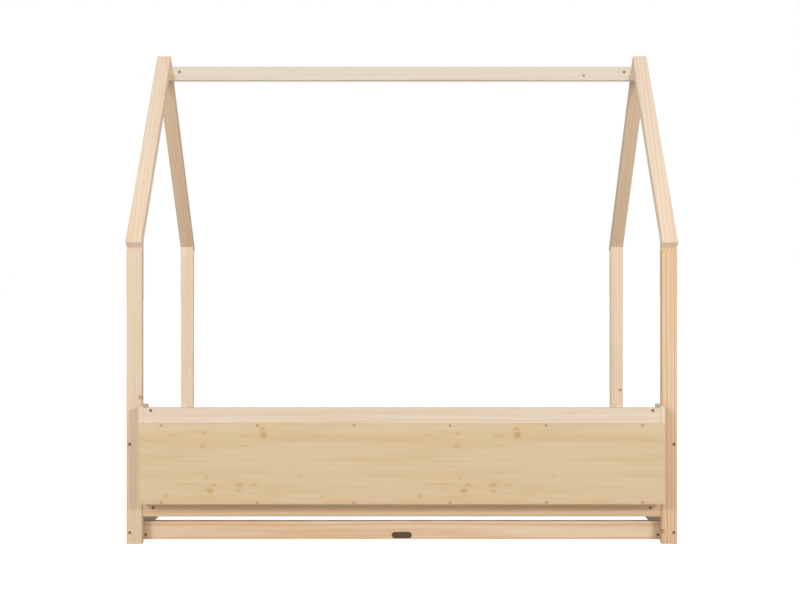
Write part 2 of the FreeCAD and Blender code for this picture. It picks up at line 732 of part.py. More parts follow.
def make_barrel_nuts():
    """Barrel nuts lie across their bolt: along X in the end rails and along Y everywhere else."""
    pattern = stack("barrel_nut", [("nut_dia", "0 - nut_long / 2", "nut_long")])
    thread = pattern.newObject("PartDesign::SubtractiveCylinder", "barrel_nut_thread")
    thread.Placement = turned(X_AXIS)
    bind(thread, Radius="nut_thread_dia / 2", Height="nut_dia * 2")
    place(thread, "0 - nut_dia", "0", "0")
    along_x = FreeCAD.Placement(FreeCAD.Vector(), FreeCAD.Rotation(Y_AXIS, Z_AXIS, X_AXIS, "ZXY"))
    along_y = FreeCAD.Placement(FreeCAD.Vector(), FreeCAD.Rotation(-X_AXIS, Z_AXIS, Y_AXIS, "ZXY"))
    across_end = []
    for level in ("end_bolt_level", "upper_bolt_level"):
        across_end += from_both_sides("end_rail_middle", "post_thick + end_rail_nut", level)
    across_side = on_both_sides("post_inner - side_rail_nut", "side_rail_middle", "side_bolt_level")
    across_side += on_both_sides("end_rail_inner - floor_rail_nut", "floor_rail_middle", "floor_bolt_level")
    across_side += from_both_ends("post_inner - ridge_nut", "ridge_line", "ridge_bolt_level")
    across_side += from_both_ends("cheek_inner - rack_rail_nut", "rack_rail_middle", "rack_bolt_level")
    across_side += from_both_ends("cheek_inner - inner_rail_nut", "side_rail_middle",
                                  "inner_rail_middle_level")
    set_of("barrel_nuts", [(pattern, where, along_x) for where, _ in across_end]
           + [(pattern, where, along_y) for where, _ in across_side])


def make_dowels():
    in_post = stack("post_dowel", [("dowel_dia", "0 - dowel_in_post", "dowel_in_post + dowel_deep")])
    in_rail = stack("rail_dowel", [("dowel_dia", "0 - dowel_in_rail", "dowel_in_rail + dowel_deep")])
    post_spots = from_both_sides("end_rail_middle", "post_thick", "upper_dowel_level")
    for sign in "-+":
        post_spots += on_both_sides("post_inner", "side_rail_middle",
                                    "side_bolt_level %s side_dowel_pitch / 2" % sign)
    fasten("post_dowels", in_post, post_spots)
    fasten("rail_dowels", in_rail,
           on_both_sides("end_rail_inner", "floor_rail_middle", "floor_dowel_level")
           + from_both_ends("cheek_inner", "rack_rail_middle", "rack_dowel_level"))

    standing = stack("roof_dowel", [("dowel_dia", "0 - roof_dowel_down", "roof_dowel_down + roof_dowel_up")])
    lying = stack("apex_dowel", [("dowel_dia", "0 - apex_dowel_deep", "apex_dowel_deep * 2")])
    eaves = []
    apexes = []
    for sign in "-+":
        across = "post_middle %s roof_dowel_pitch / 2" % sign
        for where, _ in on_both_sides(across, "roof_seat_line", "roof_seat_level"):
            eaves.append((where, Z_AXIS))
        for where, _ in from_both_ends(across, "ridge_line", "apex_dowel_level"):
            apexes.append((where, Y_AXIS))
    fasten("roof_dowels", standing, eaves)
    fasten("apex_dowels", lying, apexes)


def make_screws():
    back_level = "back_panel_face"
    fasten("rack_panel_screws", screw("panel_screw", "panel_screw_long"),
           [((across, back_level, level), Y_AXIS) for across in panel_screw_places()
            for level in ("panel_screw_level", "rack_floor_middle_level")])
    rack_spots = []
    for line in RACK_SCREW_LINES:
        rack_spots += from_both_ends("post_inner - screw_head_tall", line, "rack_floor_middle_level")
    fasten("rack_floor_screws", screw("rack_screw", "rack_screw_long"), rack_spots)
    fasten("slat_screws", screw("slat_screw", "slat_screw_long"),
           [((across, line, "slat_top - screw_head_tall"), -Z_AXIS) for across in slat_places()
            for line in ("ledger_middle", "bed_width - ledger_middle")])
    ledger_spots = []
    for across in ledger_screw_places():
        inner = "post_thick + ledger_wide - screw_head_tall"
        level = "ledger_level + ledger_tall / 2"
        ledger_spots += [((across, inner, level), -Y_AXIS),
                         ((across, "bed_width - (%s)" % inner, level), Y_AXIS)]
    fasten("ledger_screws", screw("ledger_screw", "ledger_screw_long"), ledger_spots)
    pin = stack("plate_pin", [("plate_pin_dia", "0", "plate_pin_long")])
    fasten("plate_pins", pin, [(("0 %s plate_pin_pitch / 2" % sign, "plate_face", "plate_level"), Y_AXIS)
                               for sign in "+-"])


def check_and_write():
    """Stop on any failed object or bad shape, then write one file per sub-part."""
    doc.recompute()
    failed = [item.Name for item in doc.Objects if {"Invalid", "Error"} & set(item.State)]
    if failed:
        raise RuntimeError("These objects failed: " + ", ".join(failed))
    for item in nodes:
        if item.Shape.isNull() or not item.Shape.isValid() or not item.Shape.Solids:
            raise RuntimeError("This sub-part has no sound shape: " + item.Label)
    os.makedirs("parts", exist_ok=True)
    for item in nodes:
        item.Shape.exportStep("parts/%s.step" % item.Label)
    box = Part.makeCompound([item.Shape for item in nodes]).BoundBox
    print("%d sub-parts, outer box %.1f x %.1f x %.1f" % (len(nodes), box.XLength, box.YLength, box.ZLength))
    print("corners %.2f %.2f %.2f to %.2f %.2f %.2f" % (box.XMin, box.YMin, box.ZMin,
                                                        box.XMax, box.YMax, box.ZMax))


sheet = make_sheet()
make_posts()
make_rafters()
make_ridge()
make_ends()
make_long_rails()
make_slatted_base()
make_rack()
make_plate()
make_bolts()
make_barrel_nuts()
make_dowels()
make_screws()
check_and_write()
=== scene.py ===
"""House frame bed: the finish of every timber, and the fasteners and blank plate modelled in full.

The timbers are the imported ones, each dressed in pine of its own growth.  The bolts, barrel nuts, wood
screws, dowels and the oval plate are modelled here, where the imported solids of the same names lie.
Everything is in metres: +X along the bed, +Y from the rear side with the book rack to the front, +Z up.
"""

from __future__ import annotations

import logging
import math
from collections.abc import Sequence
from dataclasses import dataclass
from enum import Enum

import bmesh
import bpy
from mathutils import Euler, Matrix, Vector

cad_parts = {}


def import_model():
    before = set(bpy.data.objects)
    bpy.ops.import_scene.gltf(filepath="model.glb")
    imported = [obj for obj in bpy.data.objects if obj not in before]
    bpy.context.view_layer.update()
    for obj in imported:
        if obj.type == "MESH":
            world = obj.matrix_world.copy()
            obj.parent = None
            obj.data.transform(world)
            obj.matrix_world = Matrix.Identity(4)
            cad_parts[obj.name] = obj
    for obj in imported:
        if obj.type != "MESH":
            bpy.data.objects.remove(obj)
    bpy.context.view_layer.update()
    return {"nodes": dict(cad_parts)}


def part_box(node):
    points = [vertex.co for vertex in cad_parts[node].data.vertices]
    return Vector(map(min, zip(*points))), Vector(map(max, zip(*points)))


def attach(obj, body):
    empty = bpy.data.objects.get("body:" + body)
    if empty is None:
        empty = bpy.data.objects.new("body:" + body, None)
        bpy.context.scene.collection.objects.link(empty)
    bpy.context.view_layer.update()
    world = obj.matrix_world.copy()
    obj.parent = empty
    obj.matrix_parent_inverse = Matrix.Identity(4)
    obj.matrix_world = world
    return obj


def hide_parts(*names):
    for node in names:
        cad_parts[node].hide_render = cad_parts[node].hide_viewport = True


log = logging.getLogger("house_frame_bed")

MM = 0.001
BODY = "root"
SHADER = "Principled BSDF"
Colour = tuple[float, float, float, float]
WHITE: Colour = (1.0, 1.0, 1.0, 1.0)


def paint(red: int, green: int, blue: int) -> Colour:
    """Turn a colour as a screen shows it, 0 to 255, into the linear one that a shader takes.

    Args:
        red: The red part.
        green: The green part.
        blue: The blue part.

    Returns:
        The linear colour with full alpha.
    """
    def linear(part: int) -> float:
        """Undo the screen's curve for one part."""
        share = part / 255
        return share / 12.92 if share <= 0.04045 else ((share + 0.055) / 1.055) ** 2.4
    return linear(red), linear(green), linear(blue), 1.0


# Node trees ----------------------------------------------------------------------------------------

@dataclass(frozen=True)
class Noise:
    """A noise.

    Attributes:
        grains: How many of its grains lie along a metre of X, Y and Z.
        detail: Its octaves.
        roughness: How strong the finer octaves are.
    """

    grains: tuple[float, float, float]
    detail: float = 2.0
    roughness: float = 0.5


@dataclass(frozen=True)
class Wire:
    """A node's output: a number, which takes part in sums as plain ones do, a vector or a colour.

    Attributes:
        sheet: The sheet that the node is on.
        socket: The output.
    """

    sheet: Sheet
    socket: bpy.types.NodeSocket

    def __add__(self, other: object) -> Wire:
        """Add a number."""
        return self.sheet.math("ADD", self, other)

    def __sub__(self, other: object) -> Wire:
        """Take a number away."""
        return self.sheet.math("SUBTRACT", self, other)

    def __rsub__(self, other: object) -> Wire:
        """Take this away from a number."""
        return self.sheet.math("SUBTRACT", other, self)

    def __mul__(self, other: object) -> Wire:
        """Multiply by a number."""
        return self.sheet.math("MULTIPLY", self, other)

    def __truediv__(self, other: object) -> Wire:
        """Divide by a number."""
        return self.sheet.math("DIVIDE", self, other)


@dataclass(frozen=True)
class Sheet:
    """A node tree being drawn, with a short method for each kind of node it uses.

    Attributes:
        tree: The tree of a material, of the world or of a node group.
    """

    tree: bpy.types.NodeTree

    def node(self, kind: str, **settings: object) -> bpy.types.Node:
        """Add a node and set its options.

        Args:
            kind: The node's type name without its ShaderNode prefix.
            **settings: Values for the node's own options.

        Returns:
            The node.
        """
        made = self.tree.nodes.new("ShaderNode" + kind)
        for name, value in settings.items():
            setattr(made, name, value)
        return made

    def feed(self, socket: bpy.types.NodeSocket, value: object) -> None:
        """Link a socket to a wire, or set its value.

        Args:
            socket: The input.
            value: A wire, a number, a vector or a colour.
        """
        if isinstance(value, Wire):
            self.tree.links.new(value.socket, socket)
        else:
            socket.default_value = value

    def feed_all(self, made: bpy.types.Node, *values: object) -> Wire:
        """Feed a node's first inputs in order.

        Args:
            made: The node.
            *values: What they get.

        Returns:
            The node's first output.
        """
        for socket, value in zip(made.inputs, values):
            self.feed(socket, value)
        return Wire(self, made.outputs[0])

    def feed_named(self, made: bpy.types.Node, **values: object) -> None:
        """Feed a node's inputs by their names, with an underscore for a space."""
        for name, value in values.items():
            self.feed(made.inputs[name.replace("_", " ")], value)

    def math(self, operation: str, *values: object, clamp: bool = False) -> Wire:
        """Work out a number by an operation of the Math node, kept between 0 and 1 if clamped."""
        return self.feed_all(self.node("Math", operation=operation, use_clamp=clamp), *values)

    def vector(self, operation: str, *values: object) -> Wire:
        """Work out a vector, or a number for the operations that give one.

        Args:
            operation: The Vector Math node's operation.
            *values: Its inputs; a number after a vector goes to Scale.

        Returns:
            The result.
        """
        made = self.node("VectorMath", operation=operation)
        if operation == "SCALE":
            self.feed_named(made, Vector=values[0], Scale=values[1])
        else:
            self.feed_all(made, *values)
        return Wire(self, made.outputs["Value" if operation in {"LENGTH", "DOT_PRODUCT"} else "Vector"])

    def coordinates(self, kind: str) -> Wire:
        """Read the surface's own Object or Normal coordinates."""
        return Wire(self, self.node("TexCoord").outputs[kind])

    def split(self, vector: Wire) -> list[Wire]:
        """Take a vector apart into its X, Y and Z."""
        made = self.node("SeparateXYZ")
        self.feed(made.inputs[0], vector)
        return [Wire(self, socket) for socket in made.outputs]

    def join(self, *parts: object) -> Wire:
        """Make a vector of X, Y and Z."""
        return self.feed_all(self.node("CombineXYZ"), *parts)

    def noise(self, place: Wire, kind: Noise, output: str = "Fac") -> Wire:
        """Read a noise at a place.

        Args:
            place: The place.
            kind: The noise.
            output: Fac for a number, Color for a colour.

        Returns:
            The noise.
        """
        made = self.node("TexNoise", noise_dimensions="3D")
        self.feed_named(made, Vector=self.vector("MULTIPLY", place, kind.grains), Scale=1.0,
                        Detail=kind.detail, Roughness=kind.roughness)
        return Wire(self, made.outputs[output])

    def lines(self, phase: Wire, tones: Sequence[tuple[float, float]], weakest: float, strongest: float,
              seed: object = 0.0) -> Wire:
        """Draw the late wood of line after line, each in a strength of its own.

        Args:
            phase: The number of a line and how far through it the place is.
            tones: The grey levels across one line.
            weakest: The least strength that a line has.
            strongest: The most.
            seed: A number that sets one board's lines apart from another's.

        Returns:
            The late wood.
        """
        lot = self.node("TexWhiteNoise", noise_dimensions="1D")
        self.feed_named(lot, W=self.math("FLOOR", phase) + seed)
        strength = Wire(self, lot.outputs["Value"]) * (strongest - weakest) + weakest
        return self.ramp(self.math("FRACT", phase), tones) * strength

    def between(self, value: Wire, low: float, high: float) -> Wire:
        """Ease from 0 to 1 as a value goes from low to high."""
        made = self.node("MapRange", interpolation_type="SMOOTHSTEP", clamp=True)
        return self.feed_all(made, value, low, high, 0.0, 1.0)

    def mix(self, share: object, first: object, second: object, blend: str = "MIX") -> Wire:
        """Mix two colours.

        Args:
            share: How much of the second.
            first: The first colour.
            second: The second colour.
            blend: The blend type.

        Returns:
            The mixed colour.
        """
        made = self.node("Mix", data_type="RGBA", blend_type=blend, clamp_factor=True)
        self.feed(made.inputs["Factor"], share)
        colours = [socket for socket in made.inputs if socket.type == "RGBA"]
        self.feed(colours[0], first)
        self.feed(colours[1], second)
        return Wire(self, next(socket for socket in made.outputs if socket.type == "RGBA"))

    def shade(self, colour: Wire, level: Wire) -> Wire:
        """Multiply a colour by a grey level."""
        return self.mix(1.0, colour, self.join(level, level, level), "MULTIPLY")

    def ramp(self, value: Wire, stops: Sequence[tuple[float, float]]) -> Wire:
        """Follow a line of grey levels.

        Args:
            value: The place on the line.
            stops: Pairs of a place and its level, in order.

        Returns:
            The level.
        """
        made = self.node("ValToRGB")
        elements = made.color_ramp.elements
        while len(elements) < len(stops):
            elements.new(0.5)
        for element, (place, level) in zip(elements, stops):
            element.position = place
            element.color = (level, level, level, 1.0)
        return self.feed_all(made, value)

    def place_group(self, group: bpy.types.NodeTree, **values: object) -> dict[str, Wire]:
        """Put a node group in and feed its inputs.

        Args:
            group: The group.
            **values: Inputs by name, with an underscore for a space.

        Returns:
            The group's outputs by name.
        """
        made = self.node("Group", node_tree=group)
        self.feed_named(made, **values)
        return {socket.name: Wire(self, socket) for socket in made.outputs}

    def give(self, **values: Wire) -> bpy.types.NodeTree:
        """Say what each output of a group gives, by its name, and return the finished group."""
        self.feed_named(self.tree.nodes.new("NodeGroupOutput"), **values)
        return self.tree

    def surface(self, colour: Wire, roughness: Wire, height: Wire, relief: float, **constants: float) -> None:
        """Feed a material's Principled shader.

        Args:
            colour: The base colour.
            roughness: The roughness.
            height: The height of the surface in metres.
            relief: How strong that height shows.
            **constants: What is the same all over, by socket, with an underscore for a space.
        """
        bump = self.node("Bump")
        self.feed_named(bump, Strength=relief, Distance=1.0, Height=height)
        self.feed_named(self.tree.nodes[SHADER], Base_Color=colour, Roughness=roughness,
                        Normal=Wire(self, bump.outputs[0]), **constants)


def start_material(name: str) -> tuple[bpy.types.Material, Sheet]:
    """Make a material with a Principled shader.

    Args:
        name: The material's name.

    Returns:
        The material and the sheet of its node tree.
    """
    made = bpy.data.materials.new(name)
    made.use_nodes = True
    return made, Sheet(made.node_tree)


class SocketKind(Enum):
    """The kinds of socket that the node groups have."""

    VALUE = "NodeSocketFloat"
    PLACE = "NodeSocketVector"
    COLOUR = "NodeSocketColor"


VALUE, PLACE, COLOUR = SocketKind


def start_group(name: str, inputs: dict[str, SocketKind], outputs: dict[str, SocketKind]
                ) -> tuple[Sheet, dict[str, Wire]]:
    """Make an empty node group with named sockets.

    Args:
        name: The group's name.
        inputs: Its inputs in order.
        outputs: Its outputs in order.

    Returns:
        The group's sheet and its inputs by name.
    """
    tree = bpy.data.node_groups.new(name, "ShaderNodeTree")
    for way, sockets in (("INPUT", inputs), ("OUTPUT", outputs)):
        for label, kind in sockets.items():
            tree.interface.new_socket(label, in_out=way, socket_type=kind.value)
    sheet = Sheet(tree)
    entry = tree.nodes.new("NodeGroupInput")
    return sheet, {label: Wire(sheet, entry.outputs[label]) for label in inputs}


# Pine ----------------------------------------------------------------------------------------------

SMALLEST_KNOT = 1e-5    # keeps the distance in knot radii finite where a board has no knot
KNOT_CLIMB = 0.15
KNOT_STRETCH = 0.72
KNOT_SWELL = -0.12
HEART_EDGE = (0.75, 1.05)
RIM_INSIDE = (0.7, 1.0)
RIM_OUTSIDE = (1.0, 1.5)
RING_TONES = ((0.0, 0.25), (0.12, 0.0), (0.45, 0.12), (0.78, 0.8), (0.93, 1.0), (1.0, 0.25))
RING_STRENGTH = (0.3, 1.0)
STRAY = Noise((2.1, 16.0, 16.0))
BLUSH = Noise((1.3, 24.0, 24.0), 3.0, 0.55)
FIBRE = Noise((14.0, 620.0, 620.0), 3.0, 0.6)
RESIN_CHANNEL = Noise((55.0, 1500.0, 1500.0), 1.0)
BLUSH_EDGE = (0.42, 0.72)
CHANNEL_EDGE = (0.66, 0.76)
CUT_END_EDGE = (0.6, 0.9)
SEED_SHIFT = (3.17, 1.73, 2.39)
FIBRE_TONE = 0.16
RESIN_SHARE = 0.16
HEART_SHARE = 0.75
RIM_SHARE = 0.6
CUT_END_SHARE = 0.65
RESIN = paint(176, 128, 82)
SHADE_TINT = paint(238, 222, 201)
# Painted shade: the darker, warmer tint that a board is pulled towards, standing in for light that falls off
# along it
KNOT_HEART = paint(178, 122, 74)
KNOT_RIM = paint(140, 88, 48)
CUT_END = paint(228, 207, 190)


def knot_group() -> bpy.types.NodeTree:
    """A branch that runs out from the pith and crosses the board.

    Returns:
        A group that gives the knot's heart, its dark rim and how far it swells the rings around it.
    """
    sheet, given = start_group(
        "Branch knot", {"From pith": PLACE, "Along": VALUE, "Turn": VALUE, "Radius": VALUE},
        {"Heart": VALUE, "Rim": VALUE, "Swell": VALUE})
    along, across, up = sheet.split(given["From pith"])
    cosine = sheet.math("COSINE", given["Turn"])
    sine = sheet.math("SINE", given["Turn"])
    outward = across * cosine + up * sine
    side = up * cosine - across * sine
    off = along - given["Along"] - outward * KNOT_CLIMB
    distance = sheet.vector("LENGTH", sheet.join(off * KNOT_STRETCH, side, 0.0))
    share = distance / sheet.math("MAXIMUM", given["Radius"], SMALLEST_KNOT)
    there = sheet.math("GREATER_THAN", outward, 0.0)
    heart = (1.0 - sheet.between(share, *HEART_EDGE)) * there
    rim = (1.0 - sheet.between(share, *RIM_OUTSIDE)) * sheet.between(share, *RIM_INSIDE) * there
    swell = sheet.math("EXPONENT", share * share * KNOT_SWELL) * given["Radius"] * there
    return sheet.give(Heart=heart, Rim=rim, Swell=swell)


def gather(sheet: Sheet, knots: Sequence[dict[str, Wire]]) -> list[object]:
    """Take the knots of a board together.

    Args:
        sheet: The sheet that they are on.
        knots: For each one its heart, its edge and how far it pushes the lines, in this order.

    Returns:
        The strongest heart and edge at each place, and the sum of the pushes.
    """
    whole: list[object] = [0.0, 0.0, 0.0]
    for knot in knots:
        whole = [sheet.math(*parts) for parts in zip(("MAXIMUM", "MAXIMUM", "ADD"), whole, knot.values())]
    return whole


def rings_group() -> bpy.types.NodeTree:
    """Growth rings round a pith that lies beside the board and leans a little against it.

    Returns:
        A group that gives the late wood of each ring, in the strength of that ring.
    """
    sheet, given = start_group(
        "Growth rings",
        {"From pith": PLACE, "Wander": PLACE, "Spacing": VALUE, "Swell": VALUE, "Seed": VALUE},
        {"Late": VALUE})
    flat = sheet.vector("MULTIPLY", sheet.vector("ADD", given["From pith"], given["Wander"]), (0.0, 1.0, 1.0))
    phase = (sheet.vector("LENGTH", flat) - given["Swell"]) / given["Spacing"]
    return sheet.give(Late=sheet.lines(phase, RING_TONES, *RING_STRENGTH, seed=given["Seed"]))


def fibres_group() -> bpy.types.NodeTree:
    """Fine fibres and resin channels along the grain.

    Returns:
        A group that gives the fibres, centred on 0, and the channels' mask.
    """
    sheet, given = start_group("Fibres", {"Place": PLACE}, {"Fibre": VALUE, "Channel": VALUE})
    fibre = sheet.noise(given["Place"], FIBRE)
    streak = sheet.noise(given["Place"], RESIN_CHANNEL)
    return sheet.give(Fibre=fibre - 0.5, Channel=sheet.between(streak, *CHANNEL_EDGE))


def end_grain_group() -> bpy.types.NodeTree:
    """Where a board is cut across its grain.

    Returns:
        A group that gives 1 on cut ends and 0 on faces along the grain.
    """
    sheet, given = start_group("End grain", {"Grain": PLACE}, {"Cut": VALUE})
    facing = sheet.vector("DOT_PRODUCT", sheet.coordinates("Normal"), given["Grain"])
    return sheet.give(Cut=sheet.between(sheet.math("ABSOLUTE", facing), *CUT_END_EDGE))


def pine_group(knots: int) -> bpy.types.NodeTree:
    """Pine as a solid wood, so that every cut through it shows rings, fibres and knots that agree.

    Args:
        knots: How many knots the group has room for.

    Returns:
        A group that gives a board's colour, its roughness and the height of its surface in metres.
    """
    inputs = {"Place": PLACE, "Grain": PLACE, "Seed": VALUE, "Pith": PLACE, "Lean": PLACE, "Spacing": VALUE,
              "Contrast": VALUE, "Wander": VALUE, "Early": COLOUR, "Late": COLOUR, "Blush": COLOUR,
              "Blush share": VALUE, "Drift": VALUE}
    for number in range(1, knots + 1):
        inputs["Knot %d" % number] = PLACE
    sheet, given = start_group("Pine", inputs, {"Colour": COLOUR, "Roughness": VALUE, "Height": VALUE})

    place, seed = given["Place"], given["Seed"]
    own = sheet.vector("ADD", place, sheet.join(*(seed * shift for shift in SEED_SHIFT)))
    along = sheet.split(place)[0]
    stray = sheet.noise(own, STRAY, output="Color")
    wander = sheet.vector("SCALE", sheet.vector("SUBTRACT", stray, (0.5, 0.5, 0.5)), given["Wander"])
    from_pith = sheet.vector("SUBTRACT", sheet.vector("SUBTRACT", place, given["Pith"]),
                             sheet.vector("SCALE", given["Lean"], along))

    branch = knot_group()
    found = []
    for number in range(1, knots + 1):
        where = sheet.split(given["Knot %d" % number])
        found.append(sheet.place_group(branch, From_pith=from_pith, Along=where[0], Turn=where[1],
                                       Radius=where[2]))
    heart, rim, swell = gather(sheet, found)

    late = sheet.place_group(rings_group(), From_pith=from_pith, Wander=wander, Spacing=given["Spacing"],
                             Swell=swell, Seed=seed)["Late"]
    fibres = sheet.place_group(fibres_group(), Place=own)
    fibre, channel = fibres["Fibre"], fibres["Channel"]
    cut = sheet.place_group(end_grain_group(), Grain=given["Grain"])["Cut"]

    blush = sheet.between(sheet.noise(own, BLUSH), *BLUSH_EDGE)
    colour = sheet.mix(blush * given["Blush share"], given["Early"], given["Blush"])
    colour = sheet.mix(late * given["Contrast"], colour, given["Late"])
    colour = sheet.shade(colour, fibre * FIBRE_TONE + 1.0)
    colour = sheet.mix(channel * RESIN_SHARE, colour, RESIN)
    # Painted shade: along the grain, scaled by the board's setting, the colour is pulled towards the darker
    # tint, standing in for light falling off
    painted_shade_drift = sheet.math("MULTIPLY", along, given["Drift"], clamp=True)
    colour = sheet.mix(painted_shade_drift, colour, sheet.mix(1.0, colour, SHADE_TINT, "MULTIPLY"))
    colour = sheet.mix(heart * HEART_SHARE, colour, KNOT_HEART)
    colour = sheet.mix(rim * RIM_SHARE, colour, KNOT_RIM)
    colour = sheet.mix(cut, colour, sheet.mix(CUT_END_SHARE, colour, CUT_END))
    rough = late * -0.07 + 0.6 + fibre * 0.12 + cut * 0.14
    height = fibre * (0.05 * MM) + late * (0.03 * MM) + channel * (-0.04 * MM) + rim * (-0.12 * MM)
    return sheet.give(Colour=colour, Roughness=rough, Height=height)


# Finishes ------------------------------------------------------------------------------------------

class Grain(Enum):
    """The way a board's grain runs, as the direction of its own X axis."""

    ALONG = "along the bed"
    ACROSS = "across the bed"
    UPRIGHT = "up"
    REAR_SLOPE = "up the rear slope"
    FRONT_SLOPE = "up the front slope"

    def direction(self, slope: float) -> Vector:
        """The grain's direction.

        Args:
            slope: The roof's slope in radians.

        Returns:
            A unit vector.
        """
        return {
            Grain.ALONG: Vector((1, 0, 0)),
            Grain.ACROSS: Vector((0, 1, 0)),
            Grain.UPRIGHT: Vector((0, 0, 1)),
            Grain.REAR_SLOPE: Vector((0, math.cos(slope), math.sin(slope))),
            Grain.FRONT_SLOPE: Vector((0, -math.cos(slope), math.sin(slope))),
        }[self]

    def turn(self, slope: float) -> Euler:
        """The turn that takes +X to the grain's direction and +Y to a direction square to it.

        Args:
            slope: The roof's slope in radians.

        Returns:
            The turn.
        """
        run = self.direction(slope)
        side = Vector((0, 1, 0)) if self is Grain.ALONG else Vector((1, 0, 0))
        return Matrix((run, side, run.cross(side))).transposed().to_euler("XYZ")


@dataclass(frozen=True)
class Knot:
    """A branch through a board.

    Attributes:
        along: Its place along the grain from the board's middle, in metres.
        turn: The way it grew out of the pith, in degrees round the grain.
        radius: Its radius in metres.
    """

    along: float
    turn: float
    radius: float


@dataclass(frozen=True)
class Pine:
    """Bare sanded pine: one board's colours, growth and sheen.

    Attributes:
        early: The pale wood of spring.
        late: The darker line of each ring.
        blush: The warmer tone that comes and goes in long stretches.
        blush_share: How much of it there is.
        spacing: The distance from ring to ring, in metres.
        contrast: How strong the rings show.
        pith: Where the middle of the tree lies from the board's middle, across the grain, in metres.
        lean: How far the tree's axis leaves the board's for each metre along it.
        wander: How far the rings stray, in metres.
        painted_shade_drift: How fast the board is pulled towards a darker, warmer tint for each metre along
            it. This is painted shade: on the rear posts it stands in for the light falling off towards the
            floor.
        knots: Its knots, at most ROOM_FOR_KNOTS.
    """

    early: Colour = paint(236, 217, 191)
    late: Colour = paint(214, 164, 112)
    blush: Colour = paint(236, 203, 168)
    blush_share: float = 0.6
    spacing: float = 0.0052
    contrast: float = 0.55
    pith: tuple[float, float] = (0.0, 0.09)
    lean: tuple[float, float] = (0.0, 0.005)
    wander: float = 0.006
    painted_shade_drift: float = 0.0
    knots: tuple[Knot, ...] = ()

    ROOM_FOR_KNOTS = 2

    def material(self, name: str, seed: float, middle: Vector, grain: Grain, slope: float,
                 group: bpy.types.NodeTree) -> bpy.types.Material:
        """Make the material of one board.

        Args:
            name: The board's name.
            seed: A number that sets this board's growth apart from the others'.
            middle: The board's middle.
            grain: The way its grain runs.
            slope: The roof's slope in radians.
            group: The node group of pine.

        Returns:
            The material.
        """
        made, sheet = start_material("pine_" + name)
        mapping = sheet.node("Mapping", vector_type="TEXTURE")
        place = sheet.feed_all(mapping, sheet.coordinates("Object"), middle, grain.turn(slope))
        knots = {"Knot_%d" % number: (knot.along, math.radians(knot.turn), knot.radius)
                 for number, knot in enumerate(self.knots, 1)}
        board = sheet.place_group(
            group, Place=place, Grain=grain.direction(slope), Seed=seed, Pith=(0.0, *self.pith),
            Lean=(0.0, *self.lean), Spacing=self.spacing, Contrast=self.contrast, Wander=self.wander,
            Early=self.early, Late=self.late, Blush=self.blush, Blush_share=self.blush_share,
            Drift=self.painted_shade_drift, **knots)
        sheet.surface(board["Colour"], board["Roughness"], board["Height"], relief=0.6,
                      Specular_IOR_Level=0.3)
        return made


@dataclass(frozen=True)
class PrintKnot:
    """A knot in a printed pattern.

    Attributes:
        along: Its place along the bed, in metres.
        level: Its height above the floor, in metres.
        wide: Half its width in metres.
        tall: Half its height in metres.
        depth: How dark its heart is, up to 1.
    """

    along: float
    level: float
    wide: float
    tall: float
    depth: float


PRINT_TONES = ((0.0, 0.2), (0.15, 0.0), (0.5, 0.1), (0.8, 0.7), (0.92, 1.0), (1.0, 0.2))
PRINT_STRENGTH = (0.05, 0.4)
PRINT_SWAY = Noise((4.0, 4.0, 9.0))
SWAY_REACH = 0.05
HALO_SHARE = 0.25
PRINT_BAND = Noise((2.2, 2.2, 30.0), 3.0)
PRINT_FIBRE = Noise((16.0, 16.0, 520.0), 3.0, 0.6)
PRINT_HEART_EDGE = (0.2, 1.1)
PRINT_HALO_EDGE = (0.9, 3.2)
PRINT_BAND_EDGE = (0.42, 0.68)


def print_knot_group() -> bpy.types.NodeTree:
    """One knot of the printed pattern, which comes back with each repeat.

    Returns:
        A group that gives the knot's heart, its halo and how far it bends the lines round it.
    """
    sheet, given = start_group(
        "Printed knot", {"Along": VALUE, "Level": VALUE, "Knot": PLACE, "Half size": PLACE, "Repeat": VALUE},
        {"Heart": VALUE, "Halo": VALUE, "Bend": VALUE})
    along, level, depth = sheet.split(given["Knot"])
    wide, tall = sheet.split(given["Half size"])[:2]
    reach = given["Repeat"] * 0.5
    across = sheet.math("WRAP", given["Along"] - along, reach, reach * -1.0) / wide
    up = (given["Level"] - level) / tall
    distance = sheet.vector("LENGTH", sheet.join(across, up, 0.0))
    heart = (1.0 - sheet.between(distance, *PRINT_HEART_EDGE)) * depth
    halo = (1.0 - sheet.between(distance, *PRINT_HALO_EDGE)) * depth
    spread = sheet.vector("LENGTH", sheet.join(across * 0.28, up * 0.42, 0.0))
    fade = sheet.math("EXPONENT", spread * spread * -1.0)
    bend = fade * (sheet.between(up, -1.6, 1.6) - 0.5) * (tall * 1.7)
    return sheet.give(Heart=heart, Halo=halo, Bend=bend)


